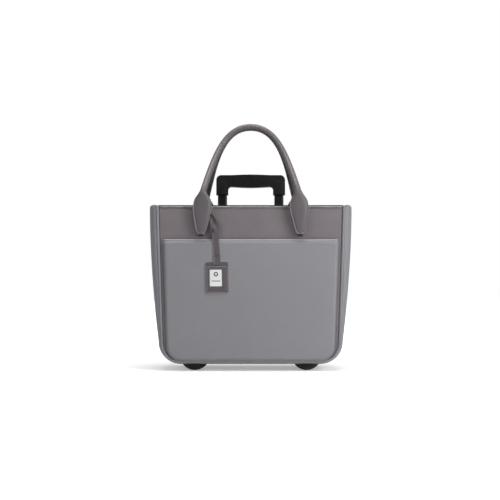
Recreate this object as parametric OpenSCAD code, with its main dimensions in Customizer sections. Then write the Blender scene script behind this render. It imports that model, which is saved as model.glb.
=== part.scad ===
// Two-wheeled laptop tote with a telescopic pull handle, two carrying handles and a hanging tag.
// +Z is up, -Y is the front, and the origin is on the floor under the middle of the case.

/* [Case] */
// Half of the case's width at its top edge
shell_half_w = 211; // [196:1:230]
// Height of the top edge above the floor
case_top = 345; // [335:1:355]
// Height of the case's underside above the floor
case_bottom = 15.5; // [15:0.5:17]
// Half of the case's depth, front face to middle
half_depth = 75; // [74:0.5:80]
// Thickness of the leather-covered walls
wall = 2.5; // [2:0.1:3]

/* [Front pocket] */
// Height of the pocket's rolled top edge
pocket_top = 271.5; // [200:0.5:275]
// How far the pocket stands off the front panel
pocket_depth = 7; // [6.5:0.5:7]

/* [Carrying handles] */
// Distance of each tab from the middle of the case
tab_x = 103.5; // [100:0.5:106]
// Height of the tabs' hinge pins
pivot_z = 288.2; // [286:0.1:292]
// Height of the middle of the handle roll at its apex
apex_z = 520; // [500:1:540]
// Diameter of the handle roll
roll_d = 13; // [12:0.5:14]

/* [Pull handle] */
// Distance of each pole from the middle of the case
pole_x = 62.7; // [60:0.1:64]
// Distance of the poles behind the middle of the case
pole_y = 60.5; // [60:0.1:61]
// Height of the top of the grip as stored
grip_top = 421.4; // [419:0.1:423]

/* [Wheels and feet] */
// Diameter of the wheels
wheel_d = 60; // [56:1:60]
// Distance of each wheel and foot from the middle of the case
wheel_x = 118; // [118:1:120]
// Radius of the feet's domed faces
foot_r = 32; // [30:1:34]

/* [Luggage tag] */
// Width of the tag
tag_w = 51; // [44:1:52]
// Height of the tag
tag_h = 67.5; // [60:0.5:68]

/* [Hidden] */
$fn = 48;

grey = "#86868b";
mauve = "#6d686b";
dark = "#38343a";
black = "#171719";
steel = "#c4c4c8";

gap = 0.3;
through = 200;

// Outlines seen from the front: [half width at the top, taper, bend of the taper,
// corner radius across, corner radius up, lowest height]
corner_z = 60;
shell_line = [shell_half_w, 19.5, 1.8, 46, corner_z - case_bottom, case_bottom];
seam_line = [shell_half_w - 16.5, 9.5, 1, 36, 38, case_bottom + 5.5];
pocket_line = [shell_half_w - 26, 10, 1, 30, 30.5, case_bottom + 8];
side_steps = 8;
corner_steps = 8;

// Stack of layers in front of each large face, measured out from the middle of the case
bar_back = half_depth + 3.4;
bar_front = bar_back + 2.5;
pivot_y = half_depth + 10;
tab_back = half_depth + 12.6;
pocket_face = half_depth + pocket_depth;

// Hinge of the handle tabs
pin_r = 1.2;
eye_r = 2.3;
eye_half_w = 5;
ear_half_w = 6.8;
bar_w = 12;

// Stations of a tab from its tip to its neck: [height above the pin, width, thickness]
tab_stations = [
  [-0.6, 8, 3.6], [1.6, 16.5, 4.8], [9.8, 22.2, 6.2], [22.4, 27.8, 7], [36.8, 34.5, 7.6],
  [54.8, 38.5, 8.2], [68.4, 34.5, 9.4], [76, 26, 10.8], [81, 18.5, 12]
];
neck_x = tab_x - 4.5;
neck_z = pivot_z + 86;
neck_y = tab_back + 3.5;
apex_y = roll_d / 2 + 0.5;
arch_steps = 18;
neck_ease = 0.04;

// Telescopic pull handle: [width, depth] of each stage, walls, heights
outer_size = [27, 17];
mid_size = [23.8, 13.8];
inner_size = [20.4, 10.4];
outer_wall = 1.2;
tube_wall = 1;
tube_round = 4;
outer_low = 26;
outer_high = 340;
mid_low = 44;
mid_high = 342;
inner_low = 68;
leg_bottom = grip_top - 44;
inner_high = leg_bottom + 18;
crossbar_bottom = grip_top - 25.6;
grip_half_w = 76.2;
grip_depth = 23;
leg_w = 26.4;
release_z = grip_top - 13.4;
release_t = 4;

// Inside of the case
lining_back = 47.8;
board_back = 49.3;

// Wheels
wheel_y = 48;
wheel_z = wheel_d / 2;
wheel_w = 22;
housing_half_w = 17;
housing_front = 13;
housing_high = 68;
axle_r = 3;
bearing_r = 8;
bracket_screw_z = [case_bottom + 9, 38];

// Feet
foot_y = -45;
foot_flat = 0.4;

// Closure strap
closure_w = 34;
closure_z = 339.5;
closure_t = 2.4;
closure_pivot_y = lining_back - 1.9;
snap_y = -52;

// Tag
tag_x = -70.2;
tag_top = 228.9;
tag_back_y = -(pocket_face + 0.6);
tag_t = 4.2;
strap_x = -74.2;
strap_w = 14.6;
loop_z = 322;

function inset(line, d) =
  [line[0] - d, line[1], line[2], line[3] - d, line[4] - d, line[5] + d];

function side_x(line, z) =
  line[0] - line[1] * pow(max(0, case_top - z) / (case_top - corner_z), line[2]);

function half_outline(line, high) =
  let (corner = line[5] + line[4])
  concat(
    [for (i = [0:side_steps - 1])
      let (z = high - (high - corner) * i / side_steps) [side_x(line, z), z]],
    [for (i = [0:corner_steps])
      let (a = 90 * i / corner_steps)
      [side_x(line, corner) - line[3] + line[3] * cos(a), corner - line[4] * sin(a)]]
  );

function outline(line, high) =
  let (half = half_outline(line, high), n = len(half))
  concat(half, [for (i = [1:n]) [-half[n - i][0], half[n - i][1]]]);

// Solid with an outline seen from the front, from depth y0 back to depth y1
module slab(line, high, y0, y1) {
  translate([0, y1, 0])
    rotate([90, 0, 0])
      linear_extrude(y1 - y0)
        polygon(outline(line, high));
}

// Box from its lowest to its highest corner
module block(low, high) {
  translate(low)
    cube(high - low);
}

// The same thing at the left and at the right of the case
module both_sides() {
  children();
  mirror([1, 0, 0])
    children();
}

// Rod along X centred on a point
module rod_x(centre, r, length) {
  translate(centre)
    rotate([0, 90, 0])
      cylinder(r = r, h = length, center = true);
}

// Disc along Y from depth y0 back to depth y1
module disc_y(x, z, r, y0, y1) {
  translate([x, y1, z])
    rotate([90, 0, 0])
      cylinder(r = r, h = y1 - y0);
}

// Outline of a tube or plate with rounded corners
module rounded_outline(w, d, r) {
  square([w - 2 * r, d], center = true);
  square([w, d - 2 * r], center = true);
  for (x = [-1, 1], y = [-1, 1])
    translate([x * (w / 2 - r), y * (d / 2 - r)])
      circle(r);
}

// Upright rounded bar centred on a pole
module pole_bar(w, d, r, z0, z1) {
  translate([pole_x, pole_y, z0])
    linear_extrude(z1 - z0)
      rounded_outline(w, d, r);
}

// Upright rounded tube of the given outer size
module pole_tube(size, thickness, z0, z1) {
  difference() {
    pole_bar(size[0], size[1], tube_round, z0, z1);
    pole_bar(size[0] - 2 * thickness, size[1] - 2 * thickness, tube_round - thickness,
             z0 - 1, z1 + 1);
  }
}

// Room taken by both wheel housings, with a margin
module housing_room(margin) {
  both_sides()
    block([wheel_x - housing_half_w - margin, housing_front - margin, -1],
          [wheel_x + housing_half_w + margin, half_depth + 5, housing_high + margin]);
}

// ---- Leather case ----

// U-shaped side and bottom band whose edges turn in to the front and back seams
module gusset_band() {
  color(grey)
    difference() {
      slab(shell_line, case_top, -half_depth, half_depth);
      slab(inset(shell_line, wall), case_top + 1, -half_depth + wall, half_depth - wall);
      slab(seam_line, case_top + 1, -through, through);
      housing_room(gap);
      for (x = [-wheel_x, wheel_x])
        translate([x, foot_y, 0])
          cylinder(r = 2.2, h = 30);
    }
}

module face_panel(y0, y1) {
  slab(inset(seam_line, 0.2), case_top, y0, y1);
}

module front_panel() {
  color(mauve)
    face_panel(-half_depth, -half_depth + wall);
}

module back_panel() {
  color(grey)
    difference() {
      face_panel(half_depth - wall, half_depth);
      housing_room(gap);
    }
}

// Cord-filled piping in the seam between a face panel and the gusset
module piping(y0, y1) {
  color(dark)
    difference() {
      slab(inset(seam_line, -1.4), case_top, y0, y1);
      slab(inset(seam_line, 1.4), case_top + 1, y0 - 1, y1 + 1);
      housing_room(gap);
    }
}

module front_piping() {
  piping(-half_depth - 2.4, -half_depth - 0.05);
}

module rear_piping() {
  piping(half_depth + 0.05, half_depth + 2.4);
}

// Flat pocket on the front, open at the top
module front_pocket() {
  color(grey)
    difference() {
      slab(pocket_line, pocket_top, -pocket_face, -half_depth - 0.05);
      slab(inset(pocket_line, 3), pocket_top + 1, -pocket_face + 2, -half_depth + 1);
    }
}

// Rolled edge along the top of the pocket
module pocket_edge() {
  color(mauve)
    rod_x([0, -pocket_face + 1.4, pocket_top + 1.5], 1.45, 2 * side_x(pocket_line, pocket_top));
}

module top_binding(y0, y1) {
  color(dark)
    block([-side_x(seam_line, case_top), y0, case_top + 0.05],
          [side_x(seam_line, case_top), y1, case_top + 1.8]);
}

module front_top_binding() {
  top_binding(-half_depth - 0.6, -half_depth + wall + 1.4);
}

module rear_top_binding() {
  top_binding(half_depth - wall, half_depth + 0.6);
}

// Stiff board on the bottom of the lining
module base_board() {
  color(dark)
    difference() {
      block([-140, -69.5, case_bottom + 4.4], [140, lining_back - 1.6, case_bottom + 7]);
      housing_room(2);
    }
}

// Sewn lining of the main compartment, notched behind the closure strap's hinge
module lining() {
  color("#4a474c")
    difference() {
      slab(inset(shell_line, wall + 0.3), case_top - 2, -half_depth + wall + 0.2, lining_back);
      slab(inset(shell_line, wall + 1.7), case_top, -half_depth + wall + 1.6, lining_back - 1.4);
      housing_room(1);
      block([-closure_w / 2 - 1, lining_back - 3, closure_z - 3],
            [closure_w / 2 + 1, lining_back + 1, case_top]);
      both_sides()
        translate([wheel_x, foot_y, 0])
          cylinder(r = 4, h = 30);
    }
}

// Padded divider that makes the laptop compartment
module divider() {
  color("#4a474c")
    difference() {
      slab(inset(shell_line, wall + 8), 290, 21, 27);
      housing_room(2);
    }
}

// Board between the compartment and the pull handle's tubes
module trolley_board() {
  color(dark)
    difference() {
      slab(inset(shell_line, wall + 0.5), case_top - 4, lining_back + 0.1, board_back);
      housing_room(1);
    }
}

// Leather cover over the tubes, with a cut-out for each collar
module trolley_top_cover() {
  color(mauve)
    difference() {
      block([-shell_half_w + wall + 0.6, board_back + 0.1, case_top - 3.8],
            [shell_half_w - wall - 0.6, half_depth - wall - 0.1, case_top - 1.6]);
      both_sides()
        translate([pole_x - 15.6, pole_y - 10.6, case_top - 10])
          cube([31.2, 21.2, 20]);
    }
}

// ---- Magnetic closure ----

module snap_tab() {
  color(mauve)
    block([-closure_w / 2, -half_depth + wall + 1.7, closure_z - 7.4],
          [closure_w / 2, snap_y + 16, closure_z - 5.4]);
}

module snap_socket() {
  color(steel)
    translate([0, snap_y, closure_z - 5.3])
      difference() {
        cylinder(r = 9, h = 2);
        translate([0, 0, 0.8])
          cylinder(r = 3, h = 2);
      }
}

module closure_strap() {
  color(mauve) {
    rod_x([0, closure_pivot_y, closure_z], closure_t / 2, closure_w);
    block([-closure_w / 2, snap_y - 14, closure_z - closure_t / 2],
          [closure_w / 2, closure_pivot_y, closure_z + closure_t / 2]);
  }
}

module snap_stud() {
  color(steel)
    translate([0, snap_y, closure_z - closure_t / 2 - 1.8]) {
      cylinder(r = 9, h = 1.75);
      translate([0, 0, -1.2])
        cylinder(r = 2.6, h = 1.3);
    }
}

// ---- Pull handle ----

module outer_tube_right() {
  color(black)
    pole_tube(outer_size, outer_wall, outer_low, outer_high);
}

module outer_tube_left() {
  mirror([1, 0, 0])
    outer_tube_right();
}

// Moulded collar at the mouth of an outer tube
module collar_right() {
  color(black)
    difference() {
      union() {
        pole_bar(31, 21, 4, case_top - 9, case_top - 1);
        pole_bar(35, 23.6, 5, case_top - 1.5, case_top + 1.5);
      }
      pole_bar(outer_size[0] + 0.1, outer_size[1] + 0.1, tube_round, case_top - 10, outer_high);
      pole_bar(mid_size[0] + 0.8, mid_size[1] + 0.8, tube_round, case_top - 10, case_top + 2);
    }
}

module collar_left() {
  mirror([1, 0, 0])
    collar_right();
}

// Moulded foot of the pull handle, screwed to both wheel housings
module base_bracket() {
  color(black)
    difference() {
      block([-wheel_x + housing_half_w + 0.2, board_back + 0.2, 19.6],
            [wheel_x - housing_half_w - 0.2, half_depth - wall - 0.2, 44]);
      both_sides()
        pole_bar(outer_size[0] + 0.1, outer_size[1] + 0.1, tube_round, outer_low, 60);
      block([-40, board_back - 1, 26], [40, half_depth, 50]);
      both_sides()
        screw_holes();
    }
}

module bracket_screws() {
  color(steel)
    both_sides()
      for (z = bracket_screw_z)
        rod_x([wheel_x - housing_half_w - 0.05, 66.5, z], 1.6, 5);
}

// Holes for the screws between a wheel housing and the bracket
module screw_holes() {
  for (z = bracket_screw_z)
    rod_x([wheel_x - housing_half_w, 66.5, z], 1.65, 6);
}

module mid_tube_right() {
  color(steel)
    pole_tube(mid_size, tube_wall, mid_low, mid_high);
}

module mid_tube_left() {
  mirror([1, 0, 0])
    mid_tube_right();
}

// Guide shoes that close the lower ends of the middle tubes around the inner ones
module mid_guides() {
  color(black)
    both_sides()
      difference() {
        pole_bar(mid_size[0], mid_size[1], tube_round, mid_low - 8, mid_low - 0.05);
        pole_bar(inner_size[0] + 0.8, inner_size[1] + 0.8, tube_round, mid_low - 9, mid_low);
      }
}

module inner_tube_right() {
  color("#a9a9ad")
    pole_tube(inner_size, tube_wall, inner_low, inner_high);
}

module inner_tube_left() {
  mirror([1, 0, 0])
    inner_tube_right();
}

// U-shaped outline of the grip, seen from the front
module grip_outline(margin) {
  top = grip_top - margin;
  half = grip_half_w - margin;
  round_r = 11 - margin;
  difference() {
    union() {
      translate([-half, leg_bottom])
        square([2 * half, top - leg_bottom - round_r]);
      translate([-half + round_r, leg_bottom])
        square([2 * (half - round_r), top - leg_bottom]);
      for (x = [-1, 1])
        translate([x * (half - round_r), top - round_r])
          circle(round_r);
    }
    translate([-grip_half_w + leg_w, leg_bottom - 1])
      square([2 * (grip_half_w - leg_w), crossbar_bottom - leg_bottom - 6]);
    translate([-grip_half_w + leg_w + 7, leg_bottom - 1])
      square([2 * (grip_half_w - leg_w - 7), crossbar_bottom - leg_bottom + 1]);
    for (x = [-1, 1])
      translate([x * (grip_half_w - leg_w - 7), crossbar_bottom - 7])
        circle(7);
  }
}

// Hollow moulded grip with sockets for the inner tubes and a slot for the button
module grip_shell() {
  color(black)
    difference() {
      union() {
        translate([0, pole_y + grip_depth / 2 - 1.5, 0])
          rotate([90, 0, 0])
            linear_extrude(grip_depth - 3)
              grip_outline(0);
        translate([0, pole_y + grip_depth / 2, 0])
          rotate([90, 0, 0])
            linear_extrude(grip_depth)
              grip_outline(2.5);
      }
      both_sides()
        pole_bar(inner_size[0] + 0.1, inner_size[1] + 0.1, tube_round, leg_bottom - 1,
                 crossbar_bottom + 5);
      block([-pole_x - 5, pole_y - 5, crossbar_bottom + 3.5],
            [pole_x + 5, pole_y + 5, release_z + release_t + 0.5]);
      translate([0, pole_y, release_z])
        linear_extrude(30)
          rounded_outline(25.6, 12.6, 6.2);
    }
}

module grip_button() {
  color("#232326")
    translate([0, pole_y, release_z + release_t + 0.05])
      linear_extrude(grip_top + 1 - release_z - release_t)
        rounded_outline(25, 12, 5.9);
}

// Bar inside the grip that the button pushes down
module release_bar() {
  color(steel)
    block([-pole_x - 4, pole_y - 4, release_z], [pole_x + 4, pole_y + 4, release_z + release_t]);
}

// Rods inside the inner tubes that work the latches
module push_rods() {
  color(steel)
    both_sides()
      translate([pole_x, pole_y, inner_low + 8])
        cylinder(r = 1.5, h = release_z - inner_low - 8.05);
}

module button_spring() {
  color(steel)
    translate([0, pole_y, crossbar_bottom + 3.6])
      difference() {
        cylinder(r = 3.5, h = release_z - crossbar_bottom - 3.7);
        translate([0, 0, -1])
          cylinder(r = 2.7, h = 20);
      }
}

// ---- Wheels and feet ----

// Moulded housing at a lower rear corner, open below and behind around its wheel
module wheel_housing_right() {
  color(black)
    difference() {
      union() {
        block([wheel_x - housing_half_w, housing_front, case_bottom],
              [wheel_x + housing_half_w, half_depth + 1.5, housing_high - 8]);
        block([wheel_x - housing_half_w, housing_front + 8, case_bottom],
              [wheel_x + housing_half_w, half_depth - 4, housing_high]);
      }
      rod_x([wheel_x, wheel_y, wheel_z], wheel_z + 3, wheel_w + 4);
      block([wheel_x - wheel_w / 2 - 2, wheel_y, -1],
            [wheel_x + wheel_w / 2 + 2, half_depth + 5, wheel_z + 12]);
      rod_x([wheel_x, wheel_y, wheel_z], axle_r, 2 * housing_half_w + 2);
      screw_holes();
    }
}

module wheel_housing_left() {
  mirror([1, 0, 0])
    wheel_housing_right();
}

module wheel_axles() {
  color(steel)
    both_sides() {
      rod_x([wheel_x, wheel_y, wheel_z], axle_r - 0.02, 2 * housing_half_w - 0.4);
    }
}

module wheel_hub_right() {
  color(black)
    difference() {
      union() {
        rod_x([wheel_x, wheel_y, wheel_z], wheel_z - 6, wheel_w - 4);
        rod_x([wheel_x, wheel_y, wheel_z], wheel_z - 4, 9);
      }
      rod_x([wheel_x, wheel_y, wheel_z], bearing_r, wheel_w);
      for (a = [0:60:300], side = [-1, 1])
        translate([wheel_x + side * (wheel_w / 2), wheel_y, wheel_z])
          rotate([a, 0, 0])
            translate([0, 15, 0])
              rotate([0, 90, 0])
                cylinder(r = 4.4, h = 12, center = true);
    }
}

module wheel_hub_left() {
  mirror([1, 0, 0])
    wheel_hub_right();
}

// Soft tread with rounded shoulders, moulded over the hub
module tyre_right() {
  color("#2b2b2e")
    translate([wheel_x, wheel_y, wheel_z])
      rotate([0, 90, 0])
        rotate_extrude($fn = 72)
          difference() {
            union() {
              translate([wheel_z - 10, -wheel_w / 2 + 2])
                square([10, wheel_w - 4]);
              translate([wheel_z - 10, -wheel_w / 2])
                square([8, wheel_w]);
              for (s = [-1, 1])
                translate([wheel_z - 2, s * (wheel_w / 2 - 2)])
                  circle(2, $fn = 24);
            }
            translate([0, -(wheel_w - 4) / 2 - 0.05])
              square([wheel_z - 5.95, wheel_w - 3.9]);
            translate([0, -4.55])
              square([wheel_z - 3.95, 9.1]);
          }
}

module tyre_left() {
  mirror([1, 0, 0])
    tyre_right();
}

// A ball bearing at each end of the hub's bore, drawn as plain rings
module bearings_right() {
  color(steel)
    for (s = [-1, 1])
      difference() {
        rod_x([wheel_x + s * 5.5, wheel_y, wheel_z], bearing_r - 0.02, 7);
        rod_x([wheel_x + s * 5.5, wheel_y, wheel_z], axle_r + 0.05, 8);
      }
}

module bearings_left() {
  mirror([1, 0, 0])
    bearings_right();
}

// Domed moulded foot with a small flat where it meets the floor
module foot_right() {
  color(black)
    translate([wheel_x, foot_y, 0])
      difference() {
        intersection() {
          translate([0, 0, foot_r - foot_flat])
            sphere(foot_r, $fn = 72);
          translate([-foot_r, -foot_r, 0])
            cube([2 * foot_r, 2 * foot_r, case_bottom - 0.1]);
        }
        translate([0, 0, 6])
          cylinder(r = 1.6, h = 20);
      }
}

module foot_left() {
  mirror([1, 0, 0])
    foot_right();
}

module foot_screws() {
  color(steel)
    both_sides()
      translate([wheel_x, foot_y, 0]) {
        translate([0, 0, 6.5])
          cylinder(r = 1.55, h = case_bottom - 3.5);
        translate([0, 0, case_bottom + wall + 0.1])
          cylinder(r = 3.2, h = 1.5);
      }
}

// ---- Carrying handles ----

// Polished bar riveted to the front panel, with two ears for the tab's hinge pin
module anchor() {
  difference() {
    union() {
      block([tab_x - bar_w / 2, -bar_front, pivot_z - 7], [tab_x + bar_w / 2, -bar_back, pivot_z + 44]);
      for (z = [pivot_z + 4, pivot_z + 40])
        disc_y(tab_x, z, 3, -bar_back - 0.1, -half_depth - 0.05);
      for (side = [-1, 1])
        intersection() {
          union() {
            rod_x([tab_x + side * (ear_half_w + eye_half_w + gap) / 2, -pivot_y, pivot_z], eye_r,
                  ear_half_w - eye_half_w - gap);
            block([tab_x + side * (ear_half_w + eye_half_w + gap) / 2
                     - (ear_half_w - eye_half_w - gap) / 2, -pivot_y, pivot_z - 1.4],
                  [tab_x + side * (ear_half_w + eye_half_w + gap) / 2
                     + (ear_half_w - eye_half_w - gap) / 2, -bar_back - 0.2, pivot_z + 2.2]);
          }
          block([0, -pivot_y - 4, 0], [through, -bar_back - 0.2, 500]);
        }
    }
    rod_x([tab_x, -pivot_y, pivot_z], pin_r + 0.01, 30);
  }
}

module hinge_pin() {
  rod_x([tab_x, -pivot_y, pivot_z], pin_r, 2 * ear_half_w + 0.6);
}

// Steel tongue sewn into the back of a tab, rolled into an eye around the pin
module tab_plate() {
  difference() {
    union() {
      rod_x([tab_x, -pivot_y, pivot_z], eye_r, 2 * eye_half_w);
      block([tab_x - eye_half_w, -tab_back + 0.05, pivot_z],
            [tab_x + eye_half_w, -tab_back + 1.1, pivot_z + 30]);
    }
    rod_x([tab_x, -pivot_y, pivot_z], pin_r + 0.05, 30);
  }
}

function bezier(a, b, c, d, t) =
  pow(1 - t, 3) * a + 3 * t * pow(1 - t, 2) * b + 3 * t * t * (1 - t) * c + pow(t, 3) * d;

// Share of the inward lean at a share u of the way up, starting softly at the neck
function lean(u) = 1 - sin(90 * u * u * (1 + neck_ease) / (u + neck_ease));

// Middle of the roll from the neck (t = 0) to the apex (t = 1)
function arch_point(t) =
  let (p = bezier([neck_x, neck_z], [neck_x - 19, neck_z + 68], [62, apex_z], [0, apex_z], t))
  [p[0], -apex_y - (neck_y - apex_y) * lean((p[1] - neck_z) / (apex_z - neck_z)), p[1]];

// Stations of one half of a handle: [middle, width, thickness]
half_handle = concat(
  [for (s = tab_stations)
    [[tab_x - 4.5 * max(0, s[0]) / 86, -tab_back - s[2] / 2, pivot_z + s[0]], s[1], s[2]]],
  [for (i = [0:arch_steps]) [arch_point(i / arch_steps), roll_d, roll_d]]
);
whole_handle = let (n = len(half_handle)) concat(
  half_handle,
  [for (i = [2:n]) let (s = half_handle[n - i]) [[-s[0][0], s[0][1], s[0][2]], s[1], s[2]]]
);
core_d = roll_d - 4;
core_line = let (n = arch_steps) concat(
  [for (i = [0:n]) [arch_point(i / n), core_d, core_d]],
  [for (i = [n - 1:-1:0]) let (p = arch_point(i / n)) [[-p[0], p[1], p[2]], core_d, core_d]]
);

function unit(v) = v / norm(v);

// Closed solid swept through stations that lie near one upright plane
module sweep(stations, sides) {
  n = len(stations);
  rings = [for (i = [0:n - 1])
    let (along = unit(stations[min(i + 1, n - 1)][0] - stations[max(i - 1, 0)][0]),
         across = unit(cross([0, -1, 0], along)),
         out = cross(along, across))
    for (k = [0:sides - 1])
      stations[i][0] + across * (stations[i][1] / 2) * cos(360 * k / sides)
        + out * (stations[i][2] / 2) * sin(360 * k / sides)];
  walls = [for (i = [0:n - 2], k = [0:sides - 1])
    let (a = i * sides + k, b = i * sides + (k + 1) % sides)
    each [[a, b, a + sides], [b, b + sides, a + sides]]];
  caps = [[for (k = [sides - 1:-1:0]) k], [for (k = [0:sides - 1]) (n - 1) * sides + k]];
  polyhedron(points = rings, faces = concat(walls, caps), convexity = 4);
}

// Leather roll with a padded teardrop tab at each end, stitched tight around its core
module handle() {
  sweep(whole_handle, 16);
}

module front_anchors() {
  color(steel)
    both_sides()
      anchor();
}

module rear_anchors() {
  mirror([0, 1, 0])
    front_anchors();
}

module front_hinge_pins() {
  color(steel)
    both_sides()
      hinge_pin();
}

module rear_hinge_pins() {
  mirror([0, 1, 0])
    front_hinge_pins();
}

module front_tab_plates() {
  color(steel)
    both_sides()
      tab_plate();
}

module rear_tab_plates() {
  mirror([0, 1, 0])
    front_tab_plates();
}

module front_handle() {
  color(mauve)
    handle();
}

module rear_handle() {
  mirror([0, 1, 0])
    front_handle();
}

module front_handle_core() {
  color("#d8d0c0")
    sweep(core_line, 10);
}

module rear_handle_core() {
  mirror([0, 1, 0])
    front_handle_core();
}

// ---- Luggage tag ----

// Doubled strap that hangs from the left front anchor and is joined by a snap
module tag_strap() {
  color(mauve) {
    translate([0, tag_back_y - 0.2, 0])
      rotate([90, 0, 0])
        linear_extrude(3)
          polygon([
            [strap_x - strap_w / 2, tag_top + 2], [strap_x + strap_w / 2, tag_top + 2],
            [strap_x + strap_w / 2, 300], [strap_x + 3, 315], [strap_x - 8, loop_z + 2],
            [-96, loop_z + 2], [-96, loop_z - 2], [strap_x - 11, loop_z - 3],
            [strap_x - strap_w / 2, 300]
          ]);
    difference() {
      block([-tab_x - bar_w / 2 - 2.2, -bar_front - 3.5, loop_z - 2],
            [-tab_x + bar_w / 2 + 2.2, -bar_back + 2.1, loop_z + 2]);
      block([-tab_x - bar_w / 2 - 0.8, -bar_front - 0.9, loop_z - 3],
            [-tab_x + bar_w / 2 + 0.8, -bar_back + 0.8, loop_z + 3]);
    }
  }
}

module tag_stud() {
  color(steel)
    disc_y(strap_x - 2, 293.5, 4, tag_back_y - 4.2, tag_back_y - 3.25);
}

// Leather tag with a window for its card
module tag_body() {
  color(mauve)
    translate([tag_x, tag_back_y, tag_top - tag_h / 2])
      rotate([90, 0, 0])
        difference() {
          linear_extrude(tag_t)
            rounded_outline(tag_w, tag_h, 5);
          translate([-2.3, -1, tag_t - 1.4])
            linear_extrude(2)
              square([25.5, 35], center = true);
        }
}

module tag_card() {
  color("white")
    translate([tag_x - 2.3, tag_back_y - tag_t + 1.35, tag_top - tag_h / 2 - 1])
      rotate([90, 0, 0])
        linear_extrude(0.5)
          square([25, 34.5], center = true);
}

gusset_band();
front_panel();
back_panel();
front_piping();
rear_piping();
front_pocket();
pocket_edge();
front_top_binding();
rear_top_binding();
base_board();
lining();
divider();
trolley_board();
trolley_top_cover();
snap_tab();
snap_socket();
closure_strap();
snap_stud();
outer_tube_left();
outer_tube_right();
collar_left();
collar_right();
base_bracket();
bracket_screws();
mid_tube_left();
mid_tube_right();
mid_guides();
inner_tube_left();
inner_tube_right();
grip_shell();
grip_button();
release_bar();
push_rods();
button_spring();
wheel_housing_left();
wheel_housing_right();
wheel_axles();
wheel_hub_left();
wheel_hub_right();
tyre_left();
tyre_right();
bearings_left();
bearings_right();
foot_left();
foot_right();
foot_screws();
front_anchors();
rear_anchors();
front_hinge_pins();
rear_hinge_pins();
front_tab_plates();
rear_tab_plates();
front_handle();
rear_handle();
front_handle_core();
rear_handle_core();
tag_strap();
tag_stud();
tag_body();
tag_card();
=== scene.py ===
import math
from contextlib import contextmanager

import bmesh
import bpy
import numpy as np
from mathutils import Matrix, Vector, noise


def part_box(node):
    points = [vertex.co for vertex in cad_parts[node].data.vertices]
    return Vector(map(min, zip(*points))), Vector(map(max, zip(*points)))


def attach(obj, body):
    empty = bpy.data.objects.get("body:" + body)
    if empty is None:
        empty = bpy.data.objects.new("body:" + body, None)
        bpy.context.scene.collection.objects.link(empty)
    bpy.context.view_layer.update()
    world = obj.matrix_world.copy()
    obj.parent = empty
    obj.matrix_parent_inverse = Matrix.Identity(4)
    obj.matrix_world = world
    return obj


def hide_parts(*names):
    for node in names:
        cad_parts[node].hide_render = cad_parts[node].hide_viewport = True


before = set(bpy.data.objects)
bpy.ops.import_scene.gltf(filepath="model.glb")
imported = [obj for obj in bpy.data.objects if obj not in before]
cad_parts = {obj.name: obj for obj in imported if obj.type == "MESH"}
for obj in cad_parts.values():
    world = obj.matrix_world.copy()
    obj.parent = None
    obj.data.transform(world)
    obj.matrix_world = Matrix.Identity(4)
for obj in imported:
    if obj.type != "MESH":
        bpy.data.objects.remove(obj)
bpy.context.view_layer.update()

# ---- Studio ----------------------------------
# A white sweep with a soft light to the right of the camera, a weaker one to its left and a third
# above the case.
# The long lens stands level with the middle of the case, a little over two metres away.
PALE = (1.0, 1.0, 1.0)
front_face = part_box("front_panel")[0].y
camera_distance = 2.2
camera_height = 0.2
aim_height = 0.2525
view_width = 1.045
side_shift = -0.0015


def aimed(obj, target):
    """Turns a camera or a light towards a point."""
    obj.rotation_euler = (Vector(target) - obj.location).to_track_quat("-Z", "Y").to_euler()


def area_light(name, place, target, size, power):
    """A square soft box."""
    data = bpy.data.lights.new(name, "AREA")
    data.size = size
    data.energy = power
    light = bpy.data.objects.new(name, data)
    light.location = place
    bpy.context.scene.collection.objects.link(light)
    aimed(light, target)


lens = bpy.data.cameras.new("camera")
lens.sensor_width = 36.0
lens.lens = lens.sensor_width * camera_distance / view_width
camera = bpy.data.objects.new("camera", lens)
camera.location = (side_shift, front_face - camera_distance, camera_height)
bpy.context.scene.collection.objects.link(camera)
aimed(camera, (side_shift, front_face, aim_height))
bpy.context.scene.camera = camera
bpy.context.scene.view_settings.view_transform = "Standard"

area_light("key_light", (1.05, -1.0, 0.7), (0, 0, 0.2), 0.7, 16)
area_light("fill_light", (-1.2, -1.6, 0.9), (0, 0, 0.25), 1.0, 6)
area_light("top_light", (0.0, -0.25, 1.45), (0, 0, 0.35), 0.9, 16)



def shader_node(tree, kind, **settings):
    """A new shader node; settings are its inputs by name, with _ for a space."""
    node = tree.nodes.new("ShaderNode" + kind)
    for label, value in settings.items():
        node.inputs[label.replace("_", " ")].default_value = value
    return node


def wire(tree, source, target):
    tree.links.new(source, target)


sky = bpy.data.worlds.new("studio")
sky.use_nodes = True
bpy.context.scene.world = sky
sky_tree = sky.node_tree
sky_tree.nodes.clear()
sky_mix = shader_node(sky_tree, "MixShader")
sky_seen = shader_node(sky_tree, "Background", Color=(*PALE, 1), Strength=1.0)
sky_lit = shader_node(sky_tree, "Background", Color=(*PALE, 1))
sky_split = shader_node(sky_tree, "SeparateXYZ")
sky_range = shader_node(sky_tree, "MapRange", From_Min=-0.55, From_Max=0.45, To_Min=0.07, To_Max=0.6)
wire(sky_tree, shader_node(sky_tree, "TexCoord").outputs["Generated"], sky_split.inputs[0])
wire(sky_tree, sky_split.outputs["Y"], sky_range.inputs["Value"])
wire(sky_tree, sky_range.outputs[0], sky_lit.inputs["Strength"])
wire(sky_tree, shader_node(sky_tree, "LightPath").outputs["Is Camera Ray"], sky_mix.inputs[0])
wire(sky_tree, sky_lit.outputs[0], sky_mix.inputs[1])
wire(sky_tree, sky_seen.outputs[0], sky_mix.inputs[2])
wire(sky_tree, sky_mix.outputs[0], shader_node(sky_tree, "OutputWorld").inputs[0])

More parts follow.
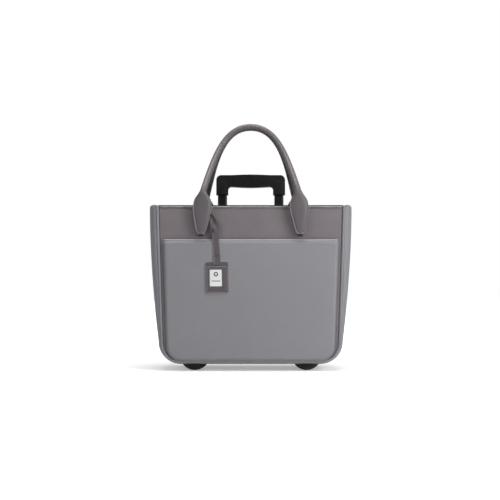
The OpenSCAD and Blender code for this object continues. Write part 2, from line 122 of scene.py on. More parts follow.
floor_mesh = bpy.data.meshes.new("floor")
floor_reach = 6.0
floor_mesh.from_pydata(
    [(x * floor_reach, y * floor_reach, -0.0004) for x, y in ((-1, -1), (1, -1), (1, 1), (-1, 1))],
    [], [(0, 1, 2, 3)])
floor = bpy.data.objects.new("floor", floor_mesh)
bpy.context.scene.collection.objects.link(floor)
floor_paint = bpy.data.materials.new("floor_sweep")
floor_paint.use_nodes = True
floor_tree = floor_paint.node_tree
floor_shader = floor_tree.nodes["Principled BSDF"].inputs
floor_shader["Base Color"].default_value = (0.8, 0.8, 0.8, 1)
floor_shader["Roughness"].default_value = 0.9
floor_shader["Emission Color"].default_value = (*PALE, 1)
floor_far = shader_node(floor_tree, "VectorMath")
floor_far.operation = "LENGTH"
floor_glow = shader_node(floor_tree, "MapRange", From_Min=0.22, From_Max=1.0, To_Min=0.36, To_Max=0.95)
floor_seen = shader_node(floor_tree, "Math")
floor_seen.operation = "MULTIPLY"
wire(floor_tree, shader_node(floor_tree, "TexCoord").outputs["Object"], floor_far.inputs[0])
wire(floor_tree, floor_far.outputs["Value"], floor_glow.inputs["Value"])
wire(floor_tree, floor_glow.outputs[0], floor_seen.inputs[0])
wire(floor_tree, shader_node(floor_tree, "LightPath").outputs["Is Camera Ray"], floor_seen.inputs[1])
wire(floor_tree, floor_seen.outputs[0], floor_shader["Emission Strength"])
floor_mesh.materials.append(floor_paint)

# ---- Gusset band -----------------------------
# One long strip of coated grey leather over a stiffener that makes both sides and the bottom.
# Its edges roll in to the front and the back and are turned over beside the piping.
MM = 0.001


def new_group(name, **inputs):
    """A node group that gives a colour, a roughness and a height; None stands for a vector."""
    group = bpy.data.node_groups.new(name, "ShaderNodeTree")
    for label, value in inputs.items():
        kind = "Vector" if value is None else "Color" if isinstance(value, tuple) else "Float"
        socket = group.interface.new_socket(label.replace("_", " "), in_out="INPUT",
                                            socket_type="NodeSocket" + kind)
        if value is not None:
            socket.default_value = value
    for label, kind in (("Color", "Color"), ("Roughness", "Float"), ("Height", "Float")):
        group.interface.new_socket(label, in_out="OUTPUT", socket_type="NodeSocket" + kind)
    given = group.nodes.new("NodeGroupInput").outputs
    return group, given, group.nodes.new("NodeGroupOutput").inputs


def given_out(group, result, colour, rough, height):
    """Wires a group's three outputs."""
    for label, source in (("Color", colour), ("Roughness", rough), ("Height", height)):
        wire(group, source, result[label])
    return group


def maths(tree, operation, a, b=0):
    """A Math node; a and b are sockets or numbers."""
    node = shader_node(tree, "Math")
    node.operation = operation
    for socket, value in zip(node.inputs, (a, b)):
        if isinstance(value, (int, float)):
            socket.default_value = value
        else:
            wire(tree, value, socket)
    return node.outputs[0]


def plus(tree, a, b):
    return maths(tree, "ADD", a, b)


def minus(tree, a, b):
    return maths(tree, "SUBTRACT", a, b)


def times(tree, a, b):
    return maths(tree, "MULTIPLY", a, b)


def spread_out(tree, value, low, high):
    """Stretches a value's range from low and high to 0 and 1, clamped."""
    node = shader_node(tree, "MapRange", From_Min=low, From_Max=high, To_Min=0.0, To_Max=1.0)
    wire(tree, value, node.inputs["Value"])
    return node.outputs[0]


def noise_node(tree, vector, scale, detail=3.0, roughness=0.5):
    node = shader_node(tree, "TexNoise", Detail=detail, Roughness=roughness)
    wire(tree, vector, node.inputs["Vector"])
    if isinstance(scale, (int, float)):
        node.inputs["Scale"].default_value = scale
    else:
        wire(tree, scale, node.inputs["Scale"])
    return node.outputs["Fac"]


def toned(tree, factor, given):
    """The group's two tones, mixed by a factor."""
    node = shader_node(tree, "Mix")
    node.data_type = "RGBA"
    wire(tree, factor, node.inputs["Factor"])
    wire(tree, given["Tone"], node.inputs["A"])
    wire(tree, given["Deep Tone"], node.inputs["B"])
    return node.outputs["Result"]


def make_leather_grain():
    """Pebbled hide: small cells, creases between them painted darker as shade, and slow changes of tone.
    """
    group, given, result = new_group(
        "leather_grain", Vector=None, Tone=(0.2, 0.2, 0.2, 1), Deep_Tone=(0.1, 0.1, 0.1, 1),
        Cells_per_Metre=900.0, Mottling=0.5, Gloss=0.45)
    vector = given["Vector"]
    wobble = shader_node(group, "TexNoise", Scale=260.0)
    shrink = shader_node(group, "VectorMath")
    shrink.operation = "SCALE"
    shrink.inputs["Scale"].default_value = 0.0016
    bent = shader_node(group, "VectorMath")
    bent.operation = "ADD"
    cells = shader_node(group, "TexVoronoi")
    cells.feature = "DISTANCE_TO_EDGE"
    wire(group, vector, wobble.inputs["Vector"])
    wire(group, wobble.outputs["Color"], shrink.inputs[0])
    wire(group, vector, bent.inputs[0])
    wire(group, shrink.outputs[0], bent.inputs[1])
    wire(group, bent.outputs[0], cells.inputs["Vector"])
    wire(group, given["Cells per Metre"], cells.inputs["Scale"])
    pebble = spread_out(group, cells.outputs["Distance"], 0.0, 0.22)
    fine = noise_node(group, vector, 2600.0, 2.0)
    slow = noise_node(group, vector, 9.0)
    cloud = noise_node(group, vector, 60.0, 4.0, 0.6)
    tone = spread_out(group, plus(group, times(group, slow, 0.55), times(group, cloud, 0.45)), 0.32, 0.68)
    shade = times(group, minus(group, 1.0, tone), given["Mottling"])
    # the creases darken the colour as painted shade in the grain's hollows, and roughen it
    crease = times(group, minus(group, 1.0, pebble), 0.35)
    shade = maths(group, "MINIMUM", plus(group, shade, crease), 1.0)
    rough = plus(group, given["Gloss"], times(group, crease, 0.5))
    rough = plus(group, rough, times(group, minus(group, cloud, 0.5), 0.22))
    return given_out(group, result, toned(group, shade, given), rough,
                     plus(group, pebble, times(group, fine, 0.35)))


LEATHER_GRAIN = make_leather_grain()


def textured(name, group, values, bump_mm, fixed):
    """A Principled material whose colour, roughness and bump come from one of the groups."""
    paint = bpy.data.materials.new(name)
    paint.use_nodes = True
    tree = paint.node_tree
    shader = tree.nodes["Principled BSDF"]
    effect = shader_node(tree, "Group")
    effect.node_tree = group
    wire(tree, shader_node(tree, "TexCoord").outputs["Object"], effect.inputs["Vector"])
    for label, value in values.items():
        effect.inputs[label].default_value = value
    wire(tree, effect.outputs["Color"], shader.inputs["Base Color"])
    wire(tree, effect.outputs["Roughness"], shader.inputs["Roughness"])
    bump = shader_node(tree, "Bump", Strength=1.0, Distance=bump_mm * MM)
    wire(tree, effect.outputs["Height"], bump.inputs["Height"])
    wire(tree, bump.outputs["Normal"], shader.inputs["Normal"])
    for label, value in fixed.items():
        shader.inputs[label].default_value = value
    return paint


def leather(name, tone, deep, cells=900.0, mottling=0.5, gloss=0.45, bump_mm=0.1, shine=0.42,
            coat=0.06):
    return textured(name, LEATHER_GRAIN,
                    {"Tone": (*tone, 1), "Deep Tone": (*deep, 1), "Cells per Metre": cells,
                     "Mottling": mottling, "Gloss": gloss},
                    bump_mm, {"Specular IOR Level": shine, "Coat Weight": coat,
                              "Coat Roughness": 0.35})


GREY_LEATHER = leather("grey_leather", (0.205, 0.204, 0.222), (0.168, 0.168, 0.184),
                       cells=1100.0, mottling=0.35, gloss=0.5, bump_mm=0.07)


def show(name, points, faces, paint, smooth=True):
    """A mesh object in the scene, in the CAD's own place."""
    mesh = bpy.data.meshes.new(name)
    mesh.from_pydata([tuple(p) for p in points], [], faces)
    mesh.materials.append(paint)
    mesh.polygons.foreach_set("use_smooth", [smooth] * len(mesh.polygons))
    mesh.update()
    piece = bpy.data.objects.new(name, mesh)
    bpy.context.scene.collection.objects.link(piece)
    return piece


@contextmanager
def reworked(mesh):
    """Opens a mesh for editing and writes the result back to it."""
    work = bmesh.new()
    work.from_mesh(mesh)
    yield work
    work.to_mesh(mesh)
    work.free()


def facing_out(piece):
    """Makes the faces of a closed mesh look outwards."""
    with reworked(piece.data) as work:
        bmesh.ops.recalc_face_normals(work, faces=work.faces)
    return piece


def cut_across(work, place, direction):
    """Cuts all of an open mesh along a plane and keeps both sides."""
    everything = work.verts[:] + work.edges[:] + work.faces[:]
    bmesh.ops.bisect_plane(work, geom=everything, plane_co=place, plane_no=direction, dist=1e-6)


def settled(piece):
    """Applies a piece's modifiers to its mesh."""
    graph = bpy.context.evaluated_depsgraph_get()
    mesh = bpy.data.meshes.new_from_object(piece.evaluated_get(graph))
    piece.modifiers.clear()
    piece.data = mesh
    return piece


def grid_faces(rows, columns, wrap=False):
    """Quads between rows of points; wrap joins the last column to the first."""
    faces = []
    for r in range(rows - 1):
        for c in range(columns if wrap else columns - 1):
            a, b = r * columns + c, r * columns + (c + 1) % columns
            faces.append((a, b, b + columns, a + columns))
    return faces


def capped(rows, sides):
    """Quads between closed rings of points, with a face over each end."""
    return grid_faces(rows, sides, wrap=True) + [tuple(reversed(range(sides))),
                                                 tuple(range((rows - 1) * sides, rows * sides))]


def side_x(line, z):
    """Half width of an outline of the case at a height: it tapers towards the bottom."""
    half_w, taper, bend = line
    return half_w - taper * (max(0.0, case_top - z) / (case_top - bend_low)) ** bend


def half_line(half_w, taper, bend, across, up, low, high, side_steps=36, corner_steps=18):
    """Right half of an outline of the case, from its top edge down to the end of the corner."""
    corner = low + up
    line = (half_w, taper, bend)
    points = [(side_x(line, z), z) for z in np.linspace(high, corner, side_steps, endpoint=False)]
    centre = side_x(line, corner) - across
    for a in np.radians(np.linspace(0, 90, corner_steps)):
        points.append((centre + across * math.cos(a), corner - up * math.sin(a)))
    return points


def whole_line(half, bottom_stops):
    """The half outline, the bottom's own points and the mirrored half, right to left."""
    low = half[-1][1]
    inner = sorted((x for x in bottom_stops if abs(x) < half[-1][0] - 1e-6), reverse=True)
    return half + [(x, low) for x in inner] + [(-x, z) for x, z in reversed(half)]


gusset_low, gusset_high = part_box("gusset_band")
case_top = gusset_high.z
case_bottom = gusset_low.z
half_depth = gusset_high.y
shell_half = gusset_high.x
bend_low = 60 * MM
bottom_stops = np.linspace(-0.14, 0.14, 41)

rim_top = case_top + 0.5 * MM
rim_round = 4.6 * MM
SHELL = (shell_half, 0.0195, 1.8, 0.046, bend_low - case_bottom, case_bottom)
seam_half_w = shell_half - 0.0165
SEAM = (seam_half_w, 0.0095, 1.0, 0.036, 0.038, case_bottom + 0.0055, case_top)


def close_to_top(line, half):
    """Adds rows just under the top edge, where the gusset's end is turned in."""
    near = [rim_top - d * MM for d in (0, 0.15, 0.4, 0.8, 1.4, 2.2, 3.2, 4.6, 7)]
    rows = [(side_x(line[:3], z), z) for z in near]
    return rows + [p for p in half if p[1] < near[-1] - 1e-4]


shell_line = whole_line(close_to_top(SHELL, half_line(*SHELL, case_top)), bottom_stops)
seam_line = whole_line(close_to_top(SEAM, half_line(*SEAM)), bottom_stops)


roll_depth = 20.0
roll_share = 0.82


def rolled(angle):
    """Share of the way in to the seam, from an angle of 0 beside it to a right angle on the side."""
    return roll_share * (1 - math.sin(angle) ** 0.9)


def share_at(y):
    """How much of the way in to the seam the band has rolled at a depth."""
    deep = min(1.0, (half_depth - abs(y)) / (roll_depth * MM))
    return rolled(math.acos(1 - deep))


def gusset_section():
    """Section of the band from the front seam round to its middle: (share of inset, depth, rise)."""
    turned = [(1.0, 0.2, 0.0), (0.985, -0.9, 0.0), (0.94, -1.5, 0.0), (0.89, -1.3, 0.0),
              (0.85, -0.5, 0.0), (roll_share, 0.1, 0.0)]
    roll = []
    for t in np.linspace(0.06, 1, 21):
        crease = 0.7 * math.exp(-((t - 0.34) / 0.05) ** 2)
        angle = math.pi / 2 * t
        roll.append((rolled(angle), roll_depth * (1 - math.cos(angle)), -crease))
    flat = [(0.0, d, 0.0) for d in np.linspace(roll_depth + 4, half_depth / MM, 10)]
    return turned + roll + flat


def make_gusset():
    section = gusset_section()
    both = [(f, -half_depth + d * MM, lift * MM) for f, d, lift in section]
    both += [(f, -y, lift) for f, y, lift in reversed(both[:-1])]
    points = []
    for (sx, sz), (ex, ez) in zip(shell_line, seam_line):
        inward = Vector((ex - sx, ez - sz))
        aim = inward.normalized()
        slack = 0.009 * max(0.0, (sz - 0.08) / (case_top - 0.08)) ** 1.4
        under = min(1.0, (rim_top - sz) / rim_round)
        turned_top = rim_round * (1 - math.sqrt(1 - (1 - under) ** 2))
        for share, y, lift in both:
            dip = slack * max(0.0, math.cos(math.pi * y / (2 * half_depth))) ** 4
            fold = 0.0012 * noise.noise(Vector((sx * 7, y * 24, sz * 9)))
            move = inward * share - aim * lift + aim * (dip + (fold if share == 0 else 0))
            move += aim * turned_top * max(0.0, 1 - share)
            points.append((sx + move.x, y, sz + move.y))
    band = show("gusset_leather", points, grid_faces(len(shell_line), len(both)), GREY_LEATHER)
    cut_for_housings(band)
    wall = band.modifiers.new("wall", "SOLIDIFY")
    wall.thickness = 2.0 * MM
    wall.offset = -1.0
    return band


def cut_for_housings(piece):
    """Opens a piece where the two wheel housings pass through it."""
    gap = Vector([0.3 * MM] * 3)
    with reworked(piece.data) as work:
        for side in ("left", "right"):
            low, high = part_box("wheel_housing_" + side)
            low, high = low - gap, high + gap
            for place, direction in ((low, (1, 0, 0)), (high, (1, 0, 0)), (low, (0, 1, 0)),
                                     (high, (0, 0, 1))):
                cut_across(work, place, direction)
            middles = [(f, f.calc_center_median()) for f in work.faces]
            inside = [f for f, m in middles if low.x < m.x < high.x and m.y > low.y and m.z < high.z]
            bmesh.ops.delete(work, geom=inside, context="FACES")
    return piece


def fixed_to(body, piece, slot, *nodes):
    """Fixes a piece to a body in place of any CAD nodes it stands for; slot is not used."""
    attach(piece, body)
    if nodes:
        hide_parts(*nodes)
    return piece


gusset = make_gusset()
settled(gusset)
facing_out(gusset)
fixed_to("case", gusset, "grey_leather", "gusset_band")

# ---- Front and back panels -------------------
# The front is smooth mauve leather over foam board; the back is grey leather over the same board.
# Each is sewn to the gusset through a piping coloured dark as painted shade in the seam, and its top edge
# is turned and painted.
MAUVE_LEATHER = leather("mauve_leather", (0.165, 0.145, 0.155), (0.118, 0.103, 0.112),
                        cells=1100.0, mottling=0.5, gloss=0.4, bump_mm=0.035)


def distances(points, line):
    """Distance from each (x, z) point to a polyline."""
    line = np.array(line)
    a, b = line[:-1], line[1:]
    ab = b - a
    best = np.full(len(points), 9.0)
    for start, step in zip(a, ab):
        t = np.clip(((points - start) @ step) / max(step @ step, 1e-12), 0, 1)
        near = np.linalg.norm(points - start - t[:, None] * step, axis=1)
        best = np.minimum(best, near)
    return best


def eased(count):
    """Numbers from -1 to 1 that lie closer together towards both ends."""
    t = np.linspace(-1, 1, count)
    return np.sign(t) * (1 - (1 - np.abs(t)) ** 1.6)


def panel_points(half, columns):
    """Grid of (x, z) that fills an outline, row by row from the top down."""
    return np.array([(u * x, z) for x, z in half for u in eased(columns)])


def rounded_edge(distance, radius):
    """Rise of a rounded edge, from 0 on the outline to 1 a radius inside it."""
    short = np.clip(radius - distance, 0, radius) / radius
    return np.sqrt(1 - short ** 2)


def closed_outline(half):
    """The half outline, its mirrored half and the first point again."""
    return half + [(-x, z) for x, z in reversed(half)] + half[:1]


def face_height(points, half, edge_r, crown):
    """How far a padded face stands out: a rounded edge all round and a gentle crown."""
    away = distances(points, closed_outline(half))
    return rounded_edge(away, edge_r), crown * (1 - np.exp(-away / 0.05))


def slab_faces(rows, columns):
    """Faces of two equal grids of points, one behind the other, joined round their rim."""
    count = rows * columns
    faces = grid_faces(rows, columns)
    faces += [tuple(count + i for i in reversed(f)) for f in faces]
    rim = list(range(columns)) + [r * columns + columns - 1 for r in range(1, rows)]
    rim += [(rows - 1) * columns + c for c in range(columns - 2, -1, -1)]
    rim += [r * columns for r in range(rows - 2, 0, -1)]
    return faces + [(a, count + a, count + b, b) for a, b in zip(rim, rim[1:] + rim[:1])]


def make_face(name, y_back, thickness, side, paint):
    """A leather-covered board: side is -1 for one that faces front and 1 for the back."""
    half = half_line(SEAM[0] - 0.0012, *SEAM[1:])
    columns = 61
    flat = panel_points(half, columns)
    edge, crown = face_height(flat, half, 2.2 * MM, 0.9 * MM)
    turned_in = 0.25 * MM * np.exp(-((case_top - flat[:, 1] - 4.6 * MM) / (1.1 * MM)) ** 2)
    out = thickness * edge + crown - turned_in
    outer = [(x, y_back + side * h, z) for (x, z), h in zip(flat, out)]
    inner = [(x, y_back - side * 0.0006, z) for x, z in flat]
    return facing_out(show(name, outer + inner, slab_faces(len(half), columns), paint))


front = make_face("front_leather", front_face + 2.2 * MM, 2.2 * MM, -1, MAUVE_LEATHER)
fixed_to("case", front, "mauve_leather", "front_panel")

back_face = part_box("back_panel")[1].y
back = make_face("back_leather", back_face - 2.2 * MM, 2.2 * MM, 1, GREY_LEATHER)
cut_for_housings(back)
fixed_to("case", back, "grey_leather", "back_panel")

# ---- Piping and painted top edges ------------
# Cord-filled piping lies in both seams, coloured near black as painted shade in the seam; the panels' top
# edges have dark paint.
# near-black leather: real paint on the top edges, painted shade on the piping cords and in the tag
# strap's fold
DARK_EDGE_PAINT_AND_SHADE = leather("dark_edge", (0.028, 0.024, 0.028), (0.016, 0.014, 0.016), cells=1600.0,
                    mottling=0.3, gloss=0.5, bump_mm=0.04, shine=0.12, coat=0.0)


def tube(name, line, radius, paint, sides=10):
    """A round tube along a line of points."""
    line = [Vector(p) for p in line]
    points = []
    across = None
    for i, p in enumerate(line):
        along = (line[min(i + 1, len(line) - 1)] - line[max(i - 1, 0)]).normalized()
        if across is None:
            across = along.orthogonal().normalized()
        across = (across - along * across.dot(along)).normalized()
        out = along.cross(across)
        r = radius(i / (len(line) - 1)) if callable(radius) else radius
        points += [p + across * r * math.cos(a) + out * r * math.sin(a)
                   for a in np.linspace(0, 2 * math.pi, sides, endpoint=False)]
    return facing_out(show(name, points, capped(len(line), sides), paint))


# pale leather for turned edges, lips and the pocket's roll: a painted highlight where they catch the
# light
PALE_EDGE_HIGHLIGHT = leather("pale_edge_painted_highlight", (0.42, 0.4, 0.44), (0.34, 0.32, 0.36), cells=1300.0,
                    mottling=0.3, gloss=0.36, bump_mm=0.05)
piping_r = 1.35 * MM
# the piping cords are coloured near black: painted shade in the seams
for side, node in ((-1, "front_piping"), (1, "rear_piping")):
    line = whole_line(half_line(SEAM[0] - 0.0004, *SEAM[1:]), bottom_stops)
    cord_line = tube(node + "_cord", [(x, side * (half_depth + 0.9 * MM), z) for x, z in line],
                     piping_r, DARK_EDGE_PAINT_AND_SHADE)
    if side > 0:
        cut_for_housings(cord_line)
    fixed_to("case", cord_line, "dark_edge", node)

# the gusset's turned edges beside the piping are painted pale: a painted highlight
for side, label in ((-1, "front"), (1, "rear")):
    line = half_line(SEAM[0] + 2.3 * MM, *SEAM[1:3], SEAM[3] + 2.3 * MM, SEAM[4] + 2.3 * MM,
                     SEAM[5] - 2.3 * MM, case_top - 1 * MM)
    line = whole_line(line, bottom_stops)
    turned_edge = tube(label + "_gusset_edge",
                       [(x, side * (half_depth + 0.9 * MM), z) for x, z in line], 0.85 * MM,
                       PALE_EDGE_HIGHLIGHT, sides=10)
    if side > 0:
        cut_for_housings(turned_edge)
    fixed_to("case", turned_edge, "grey_leather")

for node in ("front_top_binding", "rear_top_binding"):
    low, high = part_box(node)
    middle_y = (low.y + high.y) / 2
    thick = high.y - low.y
    line = [(x, middle_y, low.z) for x in np.linspace(low.x + 1 * MM, high.x - 1 * MM, 40)]
    rim = tube(node + "_paint", line, thick / 2, DARK_EDGE_PAINT_AND_SHADE, sides=14)
    for vertex in rim.data.vertices:
        vertex.co.z = low.z - 0.2 * MM + (vertex.co.z - low.z) * 0.75
    fixed_to("case", rim, "dark_edge", node)
    side = -1 if node.startswith("front") else 1
    reach = high.x - 0.5 * MM
    # the front lip under the painted edge is painted pale as a highlight; the rear one is plain grey
    # leather
    lip = tube(node + "_lip", [(x, side * (half_depth + 0.1 * MM), case_top - 2.1 * MM)
                               for x in np.linspace(-reach, reach, 40)], 0.85 * MM,
               PALE_EDGE_HIGHLIGHT if side < 0 else GREY_LEATHER, sides=12)
    fixed_to("case", lip, "mauve_leather" if side < 0 else "grey_leather")

# ---- Front pocket ----------------------------
# A grey leather slip pocket as wide as the front, sewn round three sides, open at the top.
# Its top edge is rolled over a cord and is painted pale as a highlight.
pocket_low, pocket_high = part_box("front_pocket")
edge_low, edge_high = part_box("pocket_edge")
POCKET = (shell_half - 0.026, 0.010, 1.0, 0.030, 0.032, case_bottom + 0.0065, pocket_high.z)


def make_pocket():
    half = half_line(*POCKET, side_steps=30)
    columns = 71
    flat = panel_points(half, columns)
    away = distances(flat, closed_outline(half)[:-1])
    proud = pocket_high.y - pocket_low.y - 0.4 * MM
    top_ease = np.clip((pocket_high.z - flat[:, 1]) / 0.05, 0, 1)
    out = proud * rounded_edge(away, 6.5 * MM) + 0.5 * MM * top_ease * (1 - np.exp(-away / 0.04))
    points = []
    for (x, z), h in zip(flat, out):
        ripple = 0.35 * MM * noise.noise(Vector((x * 9, 3.0, z * 11)))
        points.append((x, -half_depth - 0.2 * MM - h - ripple * min(1.0, h / proud), z))
    pocket = show("pocket_leather", points, grid_faces(len(half), columns), GREY_LEATHER)
    wall = pocket.modifiers.new("wall", "SOLIDIFY")
    wall.thickness = 1.6 * MM
    wall.offset = -1.0
    return pocket


pocket = make_pocket()
settled(pocket)
facing_out(pocket)
fixed_to("case", pocket, "grey_leather", "front_pocket")

roll_y = (edge_low.y + edge_high.y) / 2
roll_z = (edge_low.z + edge_high.z) / 2
roll_x = edge_high.x - 1.0 * MM
# the pocket's rolled top edge is painted pale: a painted highlight
roll = tube("pocket_roll", [(x, roll_y, roll_z) for x in np.linspace(-roll_x, roll_x, 60)],
            (edge_high.z - edge_low.z) / 2, PALE_EDGE_HIGHLIGHT, sides=14)
fixed_to("case", roll, "mauve_leather", "pocket_edge")

# ---- Carrying handles ------------------------
# Each is a roll of mauve leather sewn round a cotton cord, flattened at both ends into a
# padded teardrop tab with a raised rim. The tabs turn on steel pins held by polished bars.
handle_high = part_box("front_handle")[1]
pin_low, pin_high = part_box("front_hinge_pins")
plate_low, plate_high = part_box("front_tab_plates")
pivot_z = (pin_low.z + pin_high.z) / 2
tab_x = plate_high.x - 5 * MM
tab_back = -plate_low.y
roll_r = 6.5 * MM
apex_z = handle_high.z - roll_r
neck = Vector((tab_x - 4.5 * MM, -(tab_back + 3.5 * MM), pivot_z + 86 * MM))
apex_y = -roll_r - 0.5 * MM

# height above the pin, half width and half thickness of the tab, from its tip to the roll
TAB_SHAPE = [(-2.0, 1.2, 1.5), (-1.8, 3.2, 1.8), (-1.1, 5.2, 2.1), (0.2, 7.0, 2.4), (2.4, 8.7, 2.7),
             (5.6, 10.1, 3.0), (10.2, 11.4, 3.2), (22.4, 14.0, 3.6),
             (36.8, 17.2, 3.9), (47, 18.9, 4.0), (54.8, 19.2, 4.2), (62, 18.6, 4.4),
             (68.4, 17.0, 4.8), (76, 12.6, 5.5), (81, 9.3, 6.1), (86, 7.0, 6.5)]


def smooth_through(table, count):
    """Smooth curve through a short table, resampled to count rows."""
    table = np.array(table, float)
    rows = []
    for f in np.linspace(0, len(table) - 1, count):
        i = min(int(f), len(table) - 2)
        s = f - i
        p0, p1 = table[max(i - 1, 0)], table[i]
        p2, p3 = table[i + 1], table[min(i + 2, len(table) - 1)]
        rows.append(0.5 * (2 * p1 + (p2 - p0) * s + (2 * p0 - 5 * p1 + 4 * p2 - p3) * s ** 2
                           + (3 * p1 - p0 - 3 * p2 + p3) * s ** 3))
    return np.array(rows)


def lean(u):
    """Share of the inward lean left at a share u of the way up the roll."""
    return 1 - math.sin(math.pi / 2 * u * u * 1.04 / (u + 0.04)) if u > 0 else 1.0


def roll_point(t):
    a, b = Vector((neck.x, neck.z)), Vector((neck.x - 0.019, neck.z + 0.068))
    c, d = Vector((0.062, apex_z)), Vector((0.0, apex_z))
    p = a * (1 - t) ** 3 + b * 3 * t * (1 - t) ** 2 + c * 3 * t * t * (1 - t) + d * t ** 3
    u = (p.y - neck.z) / (apex_z - neck.z)
    return Vector((p.x, apex_y + (neck.y - apex_y) * lean(u), p.y))


def handle_stations():
    """(middle, half width, half thickness, roundness) from one tab's tip to the apex."""
    stations = []
    for up, half_w, half_t in smooth_through(TAB_SHAPE, 64)[:-1]:
        roundness = np.clip((up - 66) / 20, 0, 1)
        half_t, half_w = half_t * MM, max(half_w, 1.0) * MM
        middle = Vector((tab_x - 4.5 * MM * max(0, up) / 86,
                         -(tab_back + half_t) if up < 81 else
                         -(tab_back + 6.0 * MM) + (up - 81) / 5 * 2.5 * MM,
                         pivot_z + up * MM))
        stations.append((middle, half_w, half_t, roundness * roundness * (3 - 2 * roundness)))
    for t in np.linspace(0, 1, 40):
        stations.append((roll_point(t), roll_r, roll_r, 1.0))
    return stations


def tab_height(u, half_w, half_t):
    """Half thickness across a tab: a flat rim, a sewn groove and a padded middle."""
    rim = 1 - min(0.5, 2.4 * MM / half_w)
    edge = math.sqrt(max(0.0, 1 - max(0.0, (abs(u) - rim) / (1 - rim)) ** 4))
    if abs(u) > rim:
        groove = math.exp(-((abs(u) - rim) * half_w / (0.8 * MM)) ** 2)
        return (1.45 * MM - 0.6 * MM * groove) * edge
    crown = (1 - (abs(u) / rim) ** 2.4) ** 0.62
    return 0.85 * MM + (half_t - 0.85 * MM) * crown


def make_handle(name, side):
    """side is 1 for the front handle and -1 for the rear one."""
    half = handle_stations()
    stations = half + [(Vector((-m.x, m.y, m.z)), w, t, k) for m, w, t, k in reversed(half[:-1])]
    across_count = 30
    spread = [-math.cos(a) for a in np.linspace(0, math.pi, across_count)]
    points = []
    middles = [s[0] for s in stations]
    for i, (middle, half_w, half_t, roundness) in enumerate(stations):
        along = (middles[min(i + 1, len(middles) - 1)] - middles[max(i - 1, 0)]).normalized()
        across = Vector((0, -1, 0)).cross(along).normalized()
        out = along.cross(across)
        for face in (1, -1):
            for u in (spread if face > 0 else reversed(spread)):
                if abs(u) > 0.99999 and face < 0:
                    continue
                padded = tab_height(u, half_w, half_t)
                if face < 0:
                    padded = min(padded, 1.6 * MM + 0.3 * (half_t - 1.6 * MM))
                round_h = half_t * math.sqrt(max(0.0, 1 - u * u))
                h = padded * (1 - roundness) + round_h * roundness
                p = middle + across * u * half_w + out * h * face
                points.append((p.x, p.y * side, p.z))
    ring = 2 * across_count - 2
    return facing_out(show(name, points, capped(len(stations), ring), HANDLE_LEATHER_SHADED))


# the handles' leather is the front's mauve leather painted darker: a painted shade, with a glossier coat
HANDLE_LEATHER_SHADED = leather("handle_leather_painted_shade", (0.1, 0.087, 0.094), (0.066, 0.057, 0.062),
                         cells=1300.0, mottling=0.5, gloss=0.52, bump_mm=0.005,
                         coat=0.3)
# paler than the handle leather: a painted highlight on the tabs' folded rims
RIM_HIGHLIGHT_LEATHER = leather("rim_painted_highlight", (0.24, 0.218, 0.232), (0.13, 0.115, 0.123), cells=1500.0,
                      mottling=0.6, gloss=0.38, bump_mm=0.03)


def tab_edges(name, side, body):
    """The folded rim round each tab, painted paler as a highlight, from neck to neck past its tip."""
    rows = handle_stations()[:57]
    for way in (-1, 1):
        half = []
        for middle, half_w, half_t, k in rows:
            out = 1.1 * MM * (1 - k)
            half.append((half_w - 0.55 * MM, middle, out))
        line = [Vector((m.x + w, (m.y - o) * side, m.z)) for w, m, o in reversed(half)]
        line += [Vector((m.x - w, (m.y - o) * side, m.z)) for w, m, o in half]
        line = [Vector((way * p.x, p.y, p.z)) for p in line]
        label = "left" if way < 0 else "right"
        rim = tube(f"{name}_{label}_tab_rim", line,
                   lambda t: (0.3 + 0.62 * min(1.0, 6 * min(t, 1 - t))) * MM, RIM_HIGHLIGHT_LEATHER, sides=8)
        fixed_to(body, rim, "mauve_leather")


for name, side, body in (("front", 1, "handle_front"), ("rear", -1, "handle_rear")):
    handle = make_handle(name + "_handle_leather", side)
    fixed_to(body, handle, "mauve_leather", name + "_handle", name + "_handle_core")
    tab_edges(name, side, body)

# ---- Stitching -------------------------------
# Waxed thread in a slanted lockstitch, three millimetres a stitch, set into the leather.
# It follows the pocket's seam and top edge and the panels' turned edges.
THREAD = leather("thread", (0.2, 0.19, 0.205), (0.12, 0.11, 0.12), cells=3000.0, mottling=0.4,
                 gloss=0.5, bump_mm=0.03)


def stitches(name, line, body, slot, paint=THREAD, step=3.0 * MM, width=0.32 * MM):
    """A row of short threads along a line of points, each one a slim capsule."""
    line = [Vector(p) for p in line]
    spans = [(b - a).length for a, b in zip(line, line[1:])]
    total = sum(spans)
    count = max(1, int(total / step))

    def at(distance):
        for a, b, span in zip(line, line[1:], spans):
            if distance <= span:
                return a.lerp(b, distance / max(span, 1e-9))
            distance -= span
        return line[-1]

    points, faces = [], []
    for i in range(count):
        a, b = at((i + 0.14) * total / count), at((i + 0.86) * total / count)
        along = (b - a).normalized()
        across = along.orthogonal().normalized()
        out = along.cross(across)
        first = len(points)
        for t, r in ((0, 0.35), (0.2, 0.95), (0.5, 1.0), (0.8, 0.95), (1, 0.35)):
            middle = a.lerp(b, t)
            points += [middle + (across * math.cos(k) + out * math.sin(k)) * width * r
                       for k in np.linspace(0, 2 * math.pi, 5, endpoint=False)]
        faces += [tuple(first + k for k in face) for face in capped(5, 5)]
    thread = facing_out(show(name, points, faces, paint))
    return fixed_to(body, thread, slot)


def raised(line, side, y):
    return [(x, side * y, z) for x, z in line]


